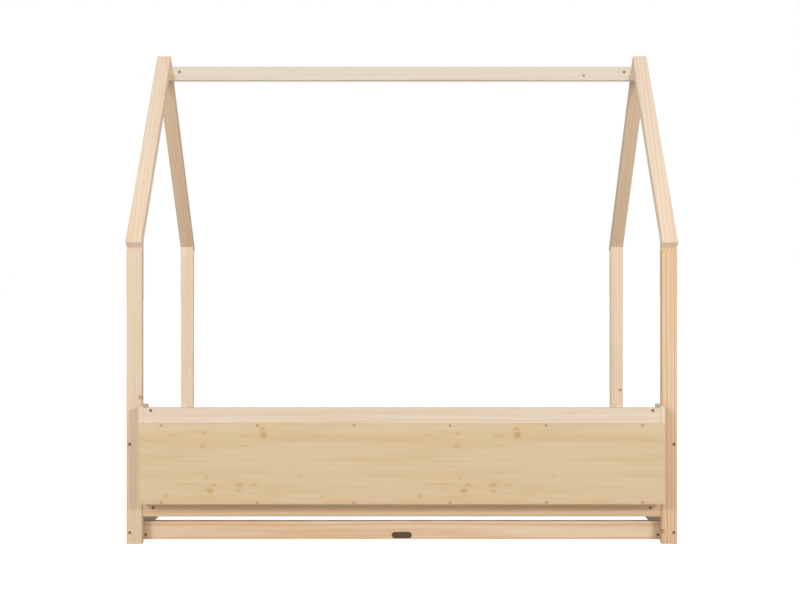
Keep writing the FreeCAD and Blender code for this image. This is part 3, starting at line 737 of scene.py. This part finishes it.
@dataclass(frozen=True)
class PrintedPine:
    """A thin board whose face is printed with a pine pattern that repeats along it.

    Attributes:
        ground: The printed pale wood.
        line: The printed late wood.
        band: The darker bands.
        knot: The heart of a knot.
        spacing: The distance from line to line, in metres.
        repeat: The length of the pattern, in metres.
        sheen: The roughness of the printed face.
        knots: The knots of one repeat.
    """

    ground: Colour = paint(215, 191, 155)
    line: Colour = paint(206, 178, 133)
    band: Colour = paint(208, 181, 139)
    knot: Colour = paint(191, 160, 104)
    spacing: float = 0.016
    repeat: float = 0.657
    sheen: float = 0.5
    knots: tuple[PrintKnot, ...] = ()

    def material(self, name: str) -> bpy.types.Material:
        """Make the material, which reads object coordinates, so the pattern keeps its place.

        Args:
            name: The board's name.

        Returns:
            The material.
        """
        made, sheet = start_material("printed_" + name)
        along, across, level = sheet.split(sheet.coordinates("Object"))
        turn = (along + across) * (math.tau / self.repeat)
        radius = self.repeat / math.tau
        place = sheet.join(sheet.math("COSINE", turn) * radius, sheet.math("SINE", turn) * radius, level)
        branch = print_knot_group()
        heart, halo, bend = gather(sheet, [
            sheet.place_group(branch, Along=along, Level=level, Knot=(knot.along, knot.level, knot.depth),
                              Half_size=(knot.wide, knot.tall, 0.0), Repeat=self.repeat)
            for knot in self.knots])

        phase = (sheet.noise(place, PRINT_SWAY) * SWAY_REACH + level - bend) / self.spacing
        fibre = sheet.noise(place, PRINT_FIBRE)
        band = sheet.between(sheet.noise(place, PRINT_BAND), *PRINT_BAND_EDGE)
        colour = sheet.mix(band, self.ground, self.band)
        colour = sheet.mix(sheet.lines(phase, PRINT_TONES, *PRINT_STRENGTH), colour, self.line)
        colour = sheet.shade(colour, fibre * 0.07 + 0.965)
        colour = sheet.mix(halo * HALO_SHARE, colour, self.line)
        colour = sheet.mix(heart, colour, self.knot)
        sheet.surface(colour, fibre * 0.1 + (self.sheen - 0.05), fibre * (0.03 * MM), relief=0.4,
                      Specular_IOR_Level=0.35)
        return made


@dataclass(frozen=True)
class Metal:
    """Bare or plated metal with patches of tarnish and a fine grit.

    Attributes:
        name: The finish's name.
        clean: The colour of the clean metal.
        tarnish: The colour of its patches.
        share: How much of it has tarnished, up to 1.
        smooth: The roughness of the clean metal.
        dull: The roughness of the tarnish.
        metallic: How much it is a metal, which a thick patina lowers.
        patch: How many patches there are along a metre.
    """

    name: str
    clean: Colour
    tarnish: Colour
    share: float
    smooth: float
    dull: float
    metallic: float
    patch: float = 260.0

    GRITS_TO_A_PATCH = 9
    PATCH_EDGE = (0.62, 0.78)

    def material(self) -> bpy.types.Material:
        """Make the material.

        Returns:
            The material.
        """
        made, sheet = start_material(self.name)
        place = sheet.coordinates("Object")
        patch = sheet.noise(place, Noise((self.patch,) * 3, 4.0, 0.6))
        grit = sheet.noise(place, Noise((self.patch * self.GRITS_TO_A_PATCH,) * 3))
        tarnished = sheet.between(patch, *(edge - 0.25 * self.share for edge in self.PATCH_EDGE))
        rough = tarnished * (self.dull - self.smooth) + self.smooth + grit * 0.12
        sheet.surface(sheet.mix(tarnished, self.clean, self.tarnish), rough, grit * (0.04 * MM), relief=0.5,
                      Metallic=self.metallic)
        return made


# Camera, light and floor ---------------------------------------------------------------------------

def put(name: str, data: bpy.types.ID) -> bpy.types.Object:
    """Put a camera, a lamp or a mesh in the scene and return its object."""
    made = bpy.data.objects.new(name, data)
    bpy.context.scene.collection.objects.link(made)
    return made


def bake(shape: bmesh.types.BMesh, name: str) -> bpy.types.Mesh:
    """Turn a shape into a mesh.

    Args:
        shape: The shape, which is used up.
        name: The mesh's name.

    Returns:
        The mesh.
    """
    mesh = bpy.data.meshes.new(name)
    shape.to_mesh(mesh)
    shape.free()
    return mesh


@dataclass
class Studio:
    """The camera at the photograph's place, two broad lamps either side of it and a white floor.

    Attributes:
        post_face: The Y of the rear posts' outer face, from which the camera and the lamps stand back.
    """

    post_face: float
    distance: float = 2.969
    height: float = 0.709
    focal_px: float = 1131.6
    frame_px: float = 800.0
    off_centre_px: float = 1.8
    horizon_px: float = 26.0
    sensor: float = 36.0
    lamp_side: float = 2.44
    lamp_back: float = 3.5
    lamp_height: float = 1.93
    lamp_size: tuple[float, float] = (0.9, 0.8)
    lamp_watts: float = 69.0
    aim_height: float = 0.6
    sky: float = 0.46
    floor_glow: float = 0.95
    floor_white: Colour = paint(218, 218, 218)
    floor_half: float = 30.0

    def camera(self) -> None:
        """Set the camera up level and in line with the middle of the bed."""
        data = bpy.data.cameras.new("camera")
        data.sensor_width = self.sensor
        data.lens = self.focal_px * self.sensor / self.frame_px
        data.shift_x = -self.off_centre_px / self.frame_px
        data.shift_y = -self.horizon_px / self.frame_px
        camera = put("camera", data)
        camera.location = (0, self.post_face - self.distance, self.height)
        camera.rotation_euler = (math.pi / 2, 0, 0)
        bpy.context.scene.camera = camera

    def lamps(self) -> None:
        """Hang an oblong lamp either side of the camera."""
        for name, sign in (("left_lamp", -1), ("right_lamp", 1)):
            data = bpy.data.lights.new(name, "AREA")
            data.shape = "RECTANGLE"
            data.size, data.size_y = self.lamp_size
            data.energy = self.lamp_watts
            lamp = put(name, data)
            lamp.location = (sign * self.lamp_side, self.post_face - self.lamp_back, self.lamp_height)
            aim = Vector((0, self.post_face, self.aim_height)) - lamp.location
            lamp.rotation_euler = aim.to_track_quat("-Z", "Y").to_euler()

    def floor(self) -> None:
        """Lay a white floor that keeps the bed's shadow."""
        grid = bmesh.new()
        bmesh.ops.create_grid(grid, x_segments=1, y_segments=1, size=self.floor_half)
        mesh = bake(grid, "floor")
        white, sheet = start_material("floor_white")
        sheet.feed_named(white.node_tree.nodes[SHADER], Base_Color=self.floor_white, Roughness=0.9,
                         Specular_IOR_Level=0.1, Emission_Color=WHITE,
                         Emission_Strength=self.seen(sheet) * self.floor_glow)
        mesh.materials.append(white)
        put("floor", mesh)

    def air(self) -> None:
        """Put a white sky over it all, which lights the bed less than it shows."""
        world = bpy.data.worlds.new("white_sky")
        bpy.context.scene.world = world
        world.use_nodes = True
        sheet = Sheet(world.node_tree)
        sheet.feed_named(world.node_tree.nodes["Background"], Color=WHITE,
                         Strength=self.seen(sheet) * (1.0 - self.sky) + self.sky)

    @staticmethod
    def seen(sheet: Sheet) -> Wire:
        """Tell the rays that see the white behind the bed from those that only light it."""
        rays = [Wire(sheet, socket) for socket in sheet.node("LightPath").outputs
                if socket.name in {"Is Camera Ray", "Is Glossy Ray", "Is Transmission Ray"}]
        return sheet.math("MAXIMUM", sheet.math("MAXIMUM", rays[0], rays[1]), rays[2])


# Turned pieces -------------------------------------------------------------------------------------

STEPS = 24
TINY = 1e-6
FLUTE = 0.03
AT_AN_END = 1e-5    # a point that is nearer to an end than this lies on it
HEAD_STEP = 2e-5    # a head is wider than the other end by more than this
FRONT_HALF = 0.2    # past this Y, a fastener without a head has its outer end at the front


class Section(Enum):
    """The outline of a turned piece, seen along its axis."""

    ROUND = "round"
    HEXAGON = "hexagon"
    FLUTED = "fluted"

    def share(self, angle: float) -> float:
        """How much of its radius the outline reaches.

        Args:
            angle: The angle round the axis.

        Returns:
            A share of up to 1.
        """
        if self is Section.HEXAGON:
            return math.cos(math.pi / 6) / math.cos(angle % (math.pi / 3) - math.pi / 6)
        if self is Section.FLUTED:
            return 1 - FLUTE + FLUTE * math.cos(angle * STEPS / 2)
        return 1.0


@dataclass(frozen=True)
class Ring:
    """One ring of a turned piece: its radius and its depth under the outer end, in millimetres."""

    radius: float
    depth: float
    section: Section = Section.ROUND


def rings(*pairs: tuple[float, float]) -> tuple[Ring, ...]:
    """Make round rings of pairs of a radius and a depth, in millimetres."""
    return tuple(Ring(*pair) for pair in pairs)


def extrude(shape: bmesh.types.BMesh, faces: list[bmesh.types.BMFace]) -> list[bmesh.types.BMVert]:
    """Extrude faces in place and find the corners that this adds."""
    grown = bmesh.ops.extrude_face_region(shape, geom=faces)
    return [item for item in grown["geom"] if isinstance(item, bmesh.types.BMVert)]


@dataclass(frozen=True)
class Recess:
    """A slot or a cross pressed into the flat end at depth 0.

    Attributes:
        reach: How far from the axis it ends, in millimetres.
        half: Half its width in millimetres.
        depth: Its depth in millimetres.
        crossed: Whether a second slot crosses the first.
    """

    reach: float
    half: float
    depth: float
    crossed: bool = False

    FLOOR_SHARE = 0.8

    def near(self, face: bmesh.types.BMFace) -> bool:
        """Tell whether a face lies in the flat end, within reach."""
        return all(abs(vert.co.z) < TINY and vert.co.xy.length < self.reach * MM + TINY
                   for vert in face.verts)

    def press(self, shape: bmesh.types.BMesh) -> None:
        """Press it into a turned piece.

        Args:
            shape: The turned piece.
        """
        half = self.half * MM
        for normal in ((1, 0, 0), (0, 1, 0)) if self.crossed else ((1, 0, 0),):
            for side in (-half, half):
                cap = [face for face in shape.faces if self.near(face)]
                cut = [*cap, *dict.fromkeys(edge for face in cap for edge in face.edges),
                       *dict.fromkeys(vert for face in cap for vert in face.verts)]
                bmesh.ops.bisect_plane(shape, geom=cut, dist=TINY, plane_co=Vector(normal) * side,
                                       plane_no=normal)
        sunk = []
        for face in filter(self.near, shape.faces):
            middle = face.calc_center_median()
            if abs(middle.x) < half or (self.crossed and abs(middle.y) < half):
                sunk.append(face)
        low = extrude(shape, sunk)
        bmesh.ops.delete(shape, geom=sunk, context="FACES_ONLY")
        bmesh.ops.scale(shape, vec=(self.FLOOR_SHARE, self.FLOOR_SHARE, 1.0), verts=low)
        bmesh.ops.translate(shape, vec=(0, 0, self.depth * MM), verts=low)


@dataclass(frozen=True)
class Turned:
    """A kind of fastener turned round its axis, in millimetres.

    Attributes:
        head: Its rings from the axis at the outer end to the start of its shank.
        shank: The shank's radius.
        start: The depth at which the shank starts.
        taper: The length of the tip.
        tip: The radius of the tip's end.
        section: The shank's outline.
        recess: The recess pressed into its outer end, if it has one.
    """

    head: tuple[Ring, ...]
    shank: float
    start: float
    taper: float
    tip: float = 0.0
    section: Section = Section.ROUND
    recess: Recess | None = None

    def outline(self, length: float) -> list[Ring]:
        """List its rings, for a length, from the axis at one end to the axis at the other."""
        tip = rings((self.tip, length), (0, length)) if self.tip else rings((0, length))
        return [*self.head, Ring(self.shank, self.start, self.section),
                Ring(self.shank, length - self.taper, self.section), *tip]

    def model(self, length: float) -> bmesh.types.BMesh:
        """Turn one round Z, from its outer end at 0.

        Args:
            length: The fastener's length.

        Returns:
            The closed shape, in metres.
        """
        outline = self.outline(length)
        shape = bmesh.new()
        points = [shape.verts.new((ring.radius * MM, 0, ring.depth * MM)) for ring in outline]
        lines = [shape.edges.new(pair) for pair in zip(points, points[1:])]
        bmesh.ops.spin(shape, geom=points + lines, cent=(0, 0, 0), axis=(0, 0, 1), angle=math.tau,
                       steps=STEPS, use_merge=True, use_duplicate=False)
        bmesh.ops.remove_doubles(shape, verts=shape.verts[:], dist=TINY)
        shaped = [ring for ring in outline if ring.section is not Section.ROUND]
        for vert in shape.verts:
            away = vert.co.xy.length
            for ring in shaped:
                if abs(away - ring.radius * MM) < TINY and abs(vert.co.z - ring.depth * MM) < TINY:
                    vert.co.xy = vert.co.xy * ring.section.share(math.atan2(vert.co.y, vert.co.x))
        if self.recess:
            self.recess.press(shape)
        return shape


@dataclass(frozen=True)
class Seat:
    """Where a fastener lies.

    Attributes:
        place: The middle of its outer end.
        way: The way it points from there.
        length: Its whole length in metres.
    """

    place: Vector
    way: Vector
    length: float


def solids_of(node: bpy.types.Object) -> list[list[Vector]]:
    """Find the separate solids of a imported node, in the same order at each run.

    Args:
        node: The node.

    Returns:
        The corner points of each solid.
    """
    shape = bmesh.new()
    shape.from_mesh(node.data)
    bmesh.ops.remove_doubles(shape, verts=shape.verts[:], dist=TINY)
    left = set(shape.verts)
    found = []
    for start in shape.verts:
        front = [start] if start in left else []
        left -= set(front)
        points = []
        while front:
            vert = front.pop()
            points.append(vert.co.copy())
            near = {edge.other_vert(vert) for edge in vert.link_edges} & left
            left -= near
            front.extend(near)
        if points:
            found.append(points)
    shape.free()
    return found


def seat_of(points: Sequence[Vector]) -> Seat:
    """Read off a packed fastener where it lies: its head is its wider end.

    Args:
        points: The corner points of its solid.

    Returns:
        Its seat.  A fastener with no head starts at the end that its bore opens to.
    """
    low = Vector(min(point[axis] for point in points) for axis in range(3))
    high = Vector(max(point[axis] for point in points) for axis in range(3))
    size = high - low
    axis = max(range(3), key=lambda index: size[index])
    middle = (low + high) / 2
    way = Vector([float(index == axis) for index in range(3)])

    def width(end: float) -> float:
        """The widest reach from the axis at one end."""
        return max(((point - middle).cross(way).length for point in points
                    if abs(point[axis] - end) < AT_AN_END), default=0.0)

    ahead, behind = width(low[axis]), width(high[axis])
    if abs(ahead - behind) > HEAD_STEP:
        sign = 1 if ahead > behind else -1
    elif axis == 0:
        sign = 1 if middle.x > 0 else -1
    else:
        sign = -1 if middle.y > FRONT_HALF else 1
    return Seat(middle - way * sign * size[axis] / 2, way * sign, size[axis])


# Sub-assemblies ------------------------------------------------------------------------------------

SEED_STEP = 0.37
EDGE_SHOWS = math.radians(35)


@dataclass
class Bench:
    """What every sub-assembly works with.

    Attributes:
        nodes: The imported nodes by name.
        slope: The roof's slope in radians.
        pine: The node group of pine.
        boards: How many boards have been dressed, so that each grows from a seed of its own.
    """

    nodes: dict[str, bpy.types.Object]
    slope: float
    pine: bpy.types.NodeTree
    boards: int = 0

    def dress(self, name: str, material: bpy.types.Material) -> None:
        """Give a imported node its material.

        Args:
            name: The node.
            material: The material.
        """
        slots = self.nodes[name].data.materials
        slots.clear()
        slots.append(material)
        log.info("%s is dressed in %s", name, material.name)

    def board(self, name: str, finish: Pine, grain: Grain) -> None:
        """Dress a timber in pine of its own growth.

        Args:
            name: The node.
            finish: Its pine.
            grain: The way its grain runs.
        """
        self.boards += 1
        low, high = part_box(name)
        seed = self.boards * SEED_STEP
        self.dress(name, finish.material(name, seed, (low + high) / 2, grain, self.slope, self.pine))

    def fit(self, shape: bmesh.types.BMesh, name: str, material: bpy.types.Material) -> None:
        """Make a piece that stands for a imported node.

        Args:
            shape: Its shape in place, which is used up.
            name: The node.
            material: Its material.
        """
        bmesh.ops.recalc_face_normals(shape, faces=shape.faces[:])
        for face in shape.faces:
            face.smooth = True
        for edge in shape.edges:
            edge.smooth = edge.calc_face_angle(0.0) < EDGE_SHOWS
        mesh = bake(shape, name + "_detailed")
        mesh.materials.append(material)
        piece = put(name + "_detailed", mesh)
        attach(piece, BODY)
        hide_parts(name)
        log.info("%s has %d faces", piece.name, len(mesh.polygons))

    def fasten(self, name: str, kind: Turned, material: bpy.types.Material) -> None:
        """Model one of a node's equal fasteners and set a copy of it on every seat.

        Args:
            name: The node.
            kind: The kind of fastener.
            material: Its material.
        """
        seats = [seat_of(points) for points in solids_of(self.nodes[name])]
        pattern = bake(kind.model(seats[0].length / MM), name + "_pattern")
        shape = bmesh.new()
        for seat in seats:
            before = set(shape.verts)
            shape.from_mesh(pattern)
            added = [vert for vert in shape.verts if vert not in before]
            turned = seat.way.to_track_quat("Z", "Y").to_matrix().to_4x4()
            bmesh.ops.transform(shape, matrix=Matrix.Translation(seat.place) @ turned, verts=added)
        bpy.data.meshes.remove(pattern)
        self.fit(shape, name, material)


@dataclass
class Posts:
    """The four posts."""

    # The rear posts are darkened towards their feet: painted shade standing in for the light falling off
    # towards the floor.
    rear_left: Pine = Pine(early=paint(223, 205, 181), late=paint(213, 173, 128), blush=paint(223, 193, 159),
                           pith=(0.05, 0.055), spacing=0.0048, contrast=0.6, painted_shade_drift=-0.7,
                           knots=(Knot(-0.024, -117.6, 0.003),))
    rear_right: Pine = Pine(early=paint(227, 201, 168), late=paint(203, 149, 93), blush=paint(219, 180, 134),
                            pith=(-0.06, 0.04), spacing=0.0075, contrast=0.75, painted_shade_drift=-1.3,
                            knots=(Knot(-0.374, -50, 0.0036),))
    front_left: Pine = Pine(early=paint(244, 230, 208), late=paint(226, 188, 144), pith=(0.05, 0.05))
    front_right: Pine = Pine(early=paint(242, 225, 199), late=paint(224, 182, 134), pith=(-0.05, 0.06),
                             knots=(Knot(-0.082, -49, 0.0028),))

    def build(self, bench: Bench) -> None:
        """Dress the posts."""
        for corner in ("rear_left", "rear_right", "front_left", "front_right"):
            bench.board("post_" + corner, getattr(self, corner), Grain.UPRIGHT)


@dataclass
class Roof:
    """The four rafters, the ridge beam and the blocks that it is bolted to."""

    rear_left: Pine = Pine(early=paint(238, 218, 195), late=paint(222, 174, 121), blush=paint(232, 198, 160),
                           blush_share=0.8, pith=(-0.05, 0.035), lean=(-0.025, 0.01), spacing=0.009,
                           contrast=0.45, wander=0.009)
    rear_right: Pine = Pine(early=paint(239, 219, 197), late=paint(222, 176, 126), blush=paint(233, 200, 165),
                            blush_share=0.8, pith=(0.055, 0.03), lean=(0.03, 0.01), spacing=0.0095,
                            contrast=0.42, wander=0.009)
    front: Pine = Pine(early=paint(222, 197, 168), late=paint(202, 156, 106), blush=paint(214, 182, 146),
                       pith=(0.04, -0.05))
    ridge: Pine = Pine(early=paint(224, 211, 194), late=paint(212, 184, 152), blush=paint(220, 200, 175),
                       pith=(0.055, 0.012), lean=(0.0, 0.012), contrast=0.4,
                       knots=(Knot(0.525, 200.5, 0.0027),))
    block: Pine = Pine(pith=(0.0, 0.05))

    def build(self, bench: Bench) -> None:
        """Dress the rafters, the ridge beam and its blocks."""
        for side in ("left", "right"):
            bench.board("rafter_rear_" + side, getattr(self, "rear_" + side), Grain.REAR_SLOPE)
            bench.board("rafter_front_" + side, self.front, Grain.FRONT_SLOPE)
            bench.board("ridge_block_" + side, self.block, Grain.UPRIGHT)
        bench.board("ridge_beam", self.ridge, Grain.ALONG)


@dataclass
class Ends:
    """The rails across the two ends, and the printed board between them."""

    # Partly painted light: the end rails are paler than the other rails. This is partly their own pale tone
    # and partly lightening, so that their faces in shade under the side rails show as bright as lit wood.
    rail: Pine = Pine(early=paint(244, 233, 214), late=paint(226, 195, 154), blush=paint(239, 218, 190),
                      pith=(0.05, 0.015))
    panel: PrintedPine = PrintedPine()

    def build(self, bench: Bench) -> None:
        """Dress the end rails and panels."""
        printed = self.panel.material("end_panels")
        for side in ("left", "right"):
            for level in ("lower", "upper"):
                bench.board("end_rail_%s_%s" % (level, side), self.rail, Grain.ACROSS)
            bench.dress("end_panel_" + side, printed)


@dataclass
class LongRails:
    """The side rails under the rack and the floor rails."""

    side: Pine = Pine(early=paint(216, 188, 154), late=paint(194, 151, 101), blush=paint(210, 175, 133),
                      pith=(0.06, 0.02), spacing=0.005, contrast=0.5)
    floor: Pine = Pine(early=paint(230, 208, 182), late=paint(206, 154, 100), blush=paint(222, 189, 151),
                       blush_share=0.9, pith=(0.034, -0.006), lean=(0.003, 0.006), spacing=0.0062,
                       contrast=0.75)

    def build(self, bench: Bench) -> None:
        """Dress the long rails."""
        for side in ("rear", "front"):
            bench.board("side_rail_" + side, self.side, Grain.ALONG)
            bench.board("floor_rail_" + side, self.floor, Grain.ALONG)


@dataclass
class SlattedBase:
    """The slats and the ledgers that carry them."""

    ledger: Pine = Pine(early=paint(230, 208, 178))
    slat: Pine = Pine(early=paint(232, 212, 184), late=paint(210, 164, 112), pith=(0.02, 0.05), spacing=0.006)

    def build(self, bench: Bench) -> None:
        """Dress the ledgers and every slat."""
        for side in ("rear", "front"):
            bench.board("slat_ledger_" + side, self.ledger, Grain.ALONG)
        for name in sorted(node for node in bench.nodes if node.startswith("slat_") and node[-1].isdigit()):
            bench.board(name, self.slat, Grain.ACROSS)


@dataclass
class BookRack:
    """The book rack along the rear side, with its printed back panel."""

    cheek: Pine = Pine(early=paint(227, 212, 187), late=paint(214, 181, 140), blush=paint(224, 202, 171),
                       pith=(0.04, 0.03))
    top_rail: Pine = Pine(early=paint(224, 209, 188), late=paint(211, 174, 132), blush=paint(220, 195, 166),
                          pith=(0.07, 0.03), spacing=0.0055, contrast=0.45, lean=(0.0, 0.01))
    inner: Pine = Pine(early=paint(234, 214, 187))
    panel: PrintedPine = PrintedPine(knots=tuple(PrintKnot(*row) for row in (
        (-0.358, 0.2925, 0.012, 0.0125, 1), (-0.361, 0.309, 0.011, 0.006, 0.7),
        (-0.406, 0.291, 0.026, 0.004, 0.5), (-0.408, 0.264, 0.028, 0.0035, 0.35),
        (-0.512, 0.296, 0.009, 0.005, 0.5), (-0.515, 0.264, 0.011, 0.01, 0.55),
        (-0.59, 0.2925, 0.03, 0.004, 0.35), (-0.496, 0.149, 0.013, 0.0085, 0.95),
        (-0.486, 0.164, 0.01, 0.005, 0.7), (-0.421, 0.164, 0.014, 0.0075, 0.8),
        (-0.421, 0.148, 0.011, 0.005, 0.6), (-0.38, 0.164, 0.015, 0.004, 0.45),
        (-0.56, 0.166, 0.042, 0.004, 0.3), (-0.611, 0.1345, 0.0085, 0.006, 0.6),
        (-0.506, 0.184, 0.0065, 0.0075, 0.5), (-0.2657, 0.1895, 0.0065, 0.006, 0.4),
        (-0.2063, 0.1352, 0.007, 0.006, 0.4))))

    def build(self, bench: Bench) -> None:
        """Dress the rack."""
        for side in ("left", "right"):
            bench.board("rack_cheek_" + side, self.cheek, Grain.UPRIGHT)
        bench.board("rack_top_rail", self.top_rail, Grain.ALONG)
        bench.board("rack_floor", self.inner, Grain.ALONG)
        bench.board("rack_inner_rail", self.inner, Grain.ALONG)
        bench.dress("rack_back_panel", self.panel.material("rack_back_panel"))


@dataclass
class OvalPlate:
    """The blank oval plate on the rear floor rail: a raised rim round a sunk field, held by two pins.

    Attributes:
        finish: Its metal.
        rim: The rim's width in millimetres.
        slope: The width of the slope from the rim down to the field, in millimetres.
        sink: How deep the field lies under the rim, in millimetres.
        edge: The bevel of its outer edge, in millimetres.
        segments: The sides of its two round ends together.
        dome: A pin's head over the plate, as pairs of a radius and a depth in millimetres.
        pin_radius: The radius of a pin in millimetres.
        pin_taper: The length of a pin's tip in millimetres.
    """

    finish: Metal = Metal("aged_bronze", paint(86, 66, 46), paint(58, 42, 28), share=0.55, smooth=0.42,
                          dull=0.62, metallic=0.4, patch=300.0)
    rim: float = 1.1
    slope: float = 0.25
    sink: float = 0.35
    edge: float = 0.3
    segments: int = 48
    dome: tuple[tuple[float, float], ...] = ((0, -0.5), (0.75, -0.43), (1.275, -0.25), (1.5, 0))
    pin_radius: float = 0.98
    pin_taper: float = 1.2

    def plate(self) -> bmesh.types.BMesh:
        """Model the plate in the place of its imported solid.

        Returns:
            The plate's shape.
        """
        low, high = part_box("oval_plate")
        middle = (low + high) / 2
        radius = (high.z - low.z) / 2
        shape = bmesh.new()
        upright = Matrix.Rotation(math.pi / 2, 4, "X") @ Matrix.Rotation(math.pi / self.segments, 4, "Z")
        bmesh.ops.create_circle(shape, cap_ends=True, segments=self.segments, radius=radius, matrix=upright)
        for sign in (-1, 1):
            end = [vert for vert in shape.verts if vert.co.x * sign > 0]
            bmesh.ops.translate(shape, vec=(sign * ((high.x - low.x) / 2 - radius), 0, 0), verts=end)
        back = extrude(shape, shape.faces[:])
        bmesh.ops.translate(shape, vec=(0, high.y - low.y, 0), verts=back)
        bmesh.ops.translate(shape, vec=(0, low.y, 0), verts=shape.verts[:])
        bmesh.ops.recalc_face_normals(shape, faces=shape.faces[:])
        outer = [edge for edge in shape.edges if all(abs(vert.co.y - low.y) < TINY for vert in edge.verts)]
        bmesh.ops.bevel(shape, geom=outer, offset=self.edge * MM, affect="EDGES", segments=2, profile=0.5,
                        material=-1)
        face = max(shape.faces, key=lambda item: -item.normal.y * item.calc_area())
        for width in (self.rim, self.slope):
            bmesh.ops.inset_region(shape, faces=[face], thickness=width * MM)
        bmesh.ops.translate(shape, vec=(0, self.sink * MM, 0), verts=face.verts[:])
        bmesh.ops.translate(shape, vec=(middle.x, 0, middle.z), verts=shape.verts[:])
        return shape

    def build(self, bench: Bench) -> None:
        """Fit the plate and its pins."""
        bronze = self.finish.material()
        bench.fit(self.plate(), "oval_plate", bronze)
        head = rings(*self.dome, (self.dome[-1][0], self.sink))
        pin = Turned(head, self.pin_radius, start=self.sink, taper=self.pin_taper)
        bench.fasten("plate_pins", pin, bronze)


# A hexagon socket: its drilled bottom, its six flats and its chamfered mouth.
SOCKET_CORNER = 2.0 / math.cos(math.pi / 6)
SOCKET = (Ring(0, 2.4), Ring(SOCKET_CORNER, 2.0, Section.HEXAGON), Ring(SOCKET_CORNER, 0.2, Section.HEXAGON),
          Ring(SOCKET_CORNER + 0.25, 0))


@dataclass
class Hardware:
    """Every bolt, barrel nut, screw and dowel."""

    cap_bolt: Turned = Turned(SOCKET + rings((3.8, 0), (4.25, 0.45), (4.25, 4.7), (4.05, 5)),
                              shank=2.5, start=5, taper=0.7, tip=1.8)
    flat_bolt: Turned = Turned(SOCKET + rings((5.2, 0), (5.8, 0.35), (6, 0.9), (6, 2.2), (5.7, 2.5)),
                               shank=2.5, start=2.5, taper=0.7, tip=1.8)
    nut: Turned = Turned(rings((0, 0), (3.0, 0), (3.6, 0)), shank=4.0, start=0.4, taper=0.4, tip=3.6,
                         recess=Recess(reach=3.0, half=0.6, depth=1.3))
    screw: Turned = Turned(
        rings((0, 0), (2.2, 0), (2.7, 0.12), (3.2, 0.45), (3.48, 1.0), (3.5, 1.55), (3.3, 1.8)),
        shank=1.75, start=1.8, taper=4.5, recess=Recess(reach=2.2, half=0.45, depth=1.2, crossed=True))
    dowel: Turned = Turned(rings((0, 0), (3.3, 0)), shank=3.98, start=0.9, taper=0.9, tip=3.3,
                           section=Section.FLUTED)
    steel: Metal = Metal("bronzed_steel", paint(176, 140, 102), paint(128, 94, 62), share=0.6, smooth=0.45,
                         dull=0.62, metallic=0.25)
    zinc: Metal = Metal("yellow_zinc", paint(190, 160, 122), paint(156, 126, 90), share=0.5, smooth=0.42,
                        dull=0.55, metallic=0.25)
    beech: Pine = Pine(early=paint(214, 180, 142), late=paint(196, 156, 116), blush=paint(208, 170, 132),
                       spacing=0.0021, contrast=0.4)

    def build(self, bench: Bench) -> None:
        """Fit the hardware."""
        steel = self.steel.material()
        zinc = self.zinc.material()
        beech = self.beech.material("dowels", seed=0.5, middle=Vector((0, 0, 0)), grain=Grain.ALONG,
                                    slope=bench.slope, group=bench.pine)
        for kind, material, slot, names in (
                (self.cap_bolt, steel, "dark_steel",
                 ("post_bolts", "side_rail_bolts", "floor_rail_bolts", "rack_mount_bolts")),
                (self.flat_bolt, steel, "dark_steel", ("ridge_bolts", "rack_rail_bolts")),
                (self.nut, steel, "dark_steel", ("barrel_nuts",)),
                (self.screw, zinc, "zinc_steel",
                 ("rack_panel_screws", "rack_floor_screws", "slat_screws", "ledger_screws")),
                (self.dowel, beech, "beech_dowel",
                 ("post_dowels", "rail_dowels", "roof_dowels", "apex_dowels"))):
            for name in names:
                bench.fasten(name, kind, material)


def roof_slope(rafter: bpy.types.Object) -> float:
    """Read the roof's slope off a rear rafter.

    Args:
        rafter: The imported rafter.

    Returns:
        The slope in radians.
    """
    places = [vertex.co for vertex in rafter.data.vertices]
    eave = min(places, key=lambda place: place.y)
    apex = max(places, key=lambda place: place.z)
    return math.atan2(apex.z - eave.z, apex.y - eave.y)


def main() -> None:
    """Build the scene: studio, timbers, fasteners and plate."""
    logging.basicConfig(level=logging.INFO, format="%(message)s")
    bpy.context.scene.view_settings.view_transform = "Standard"
    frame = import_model()
    nodes = frame["nodes"]

    studio = Studio(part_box("post_rear_left")[0].y)
    studio.camera()
    studio.lamps()
    studio.floor()
    studio.air()

    bench = Bench(nodes, roof_slope(nodes["rafter_rear_left"]), pine_group(Pine.ROOM_FOR_KNOTS))
    for part in (Posts(), Roof(), Ends(), LongRails(), SlattedBase(), BookRack(), OvalPlate(), Hardware()):
        part.build(bench)


if __name__ == "__main__":
    main()
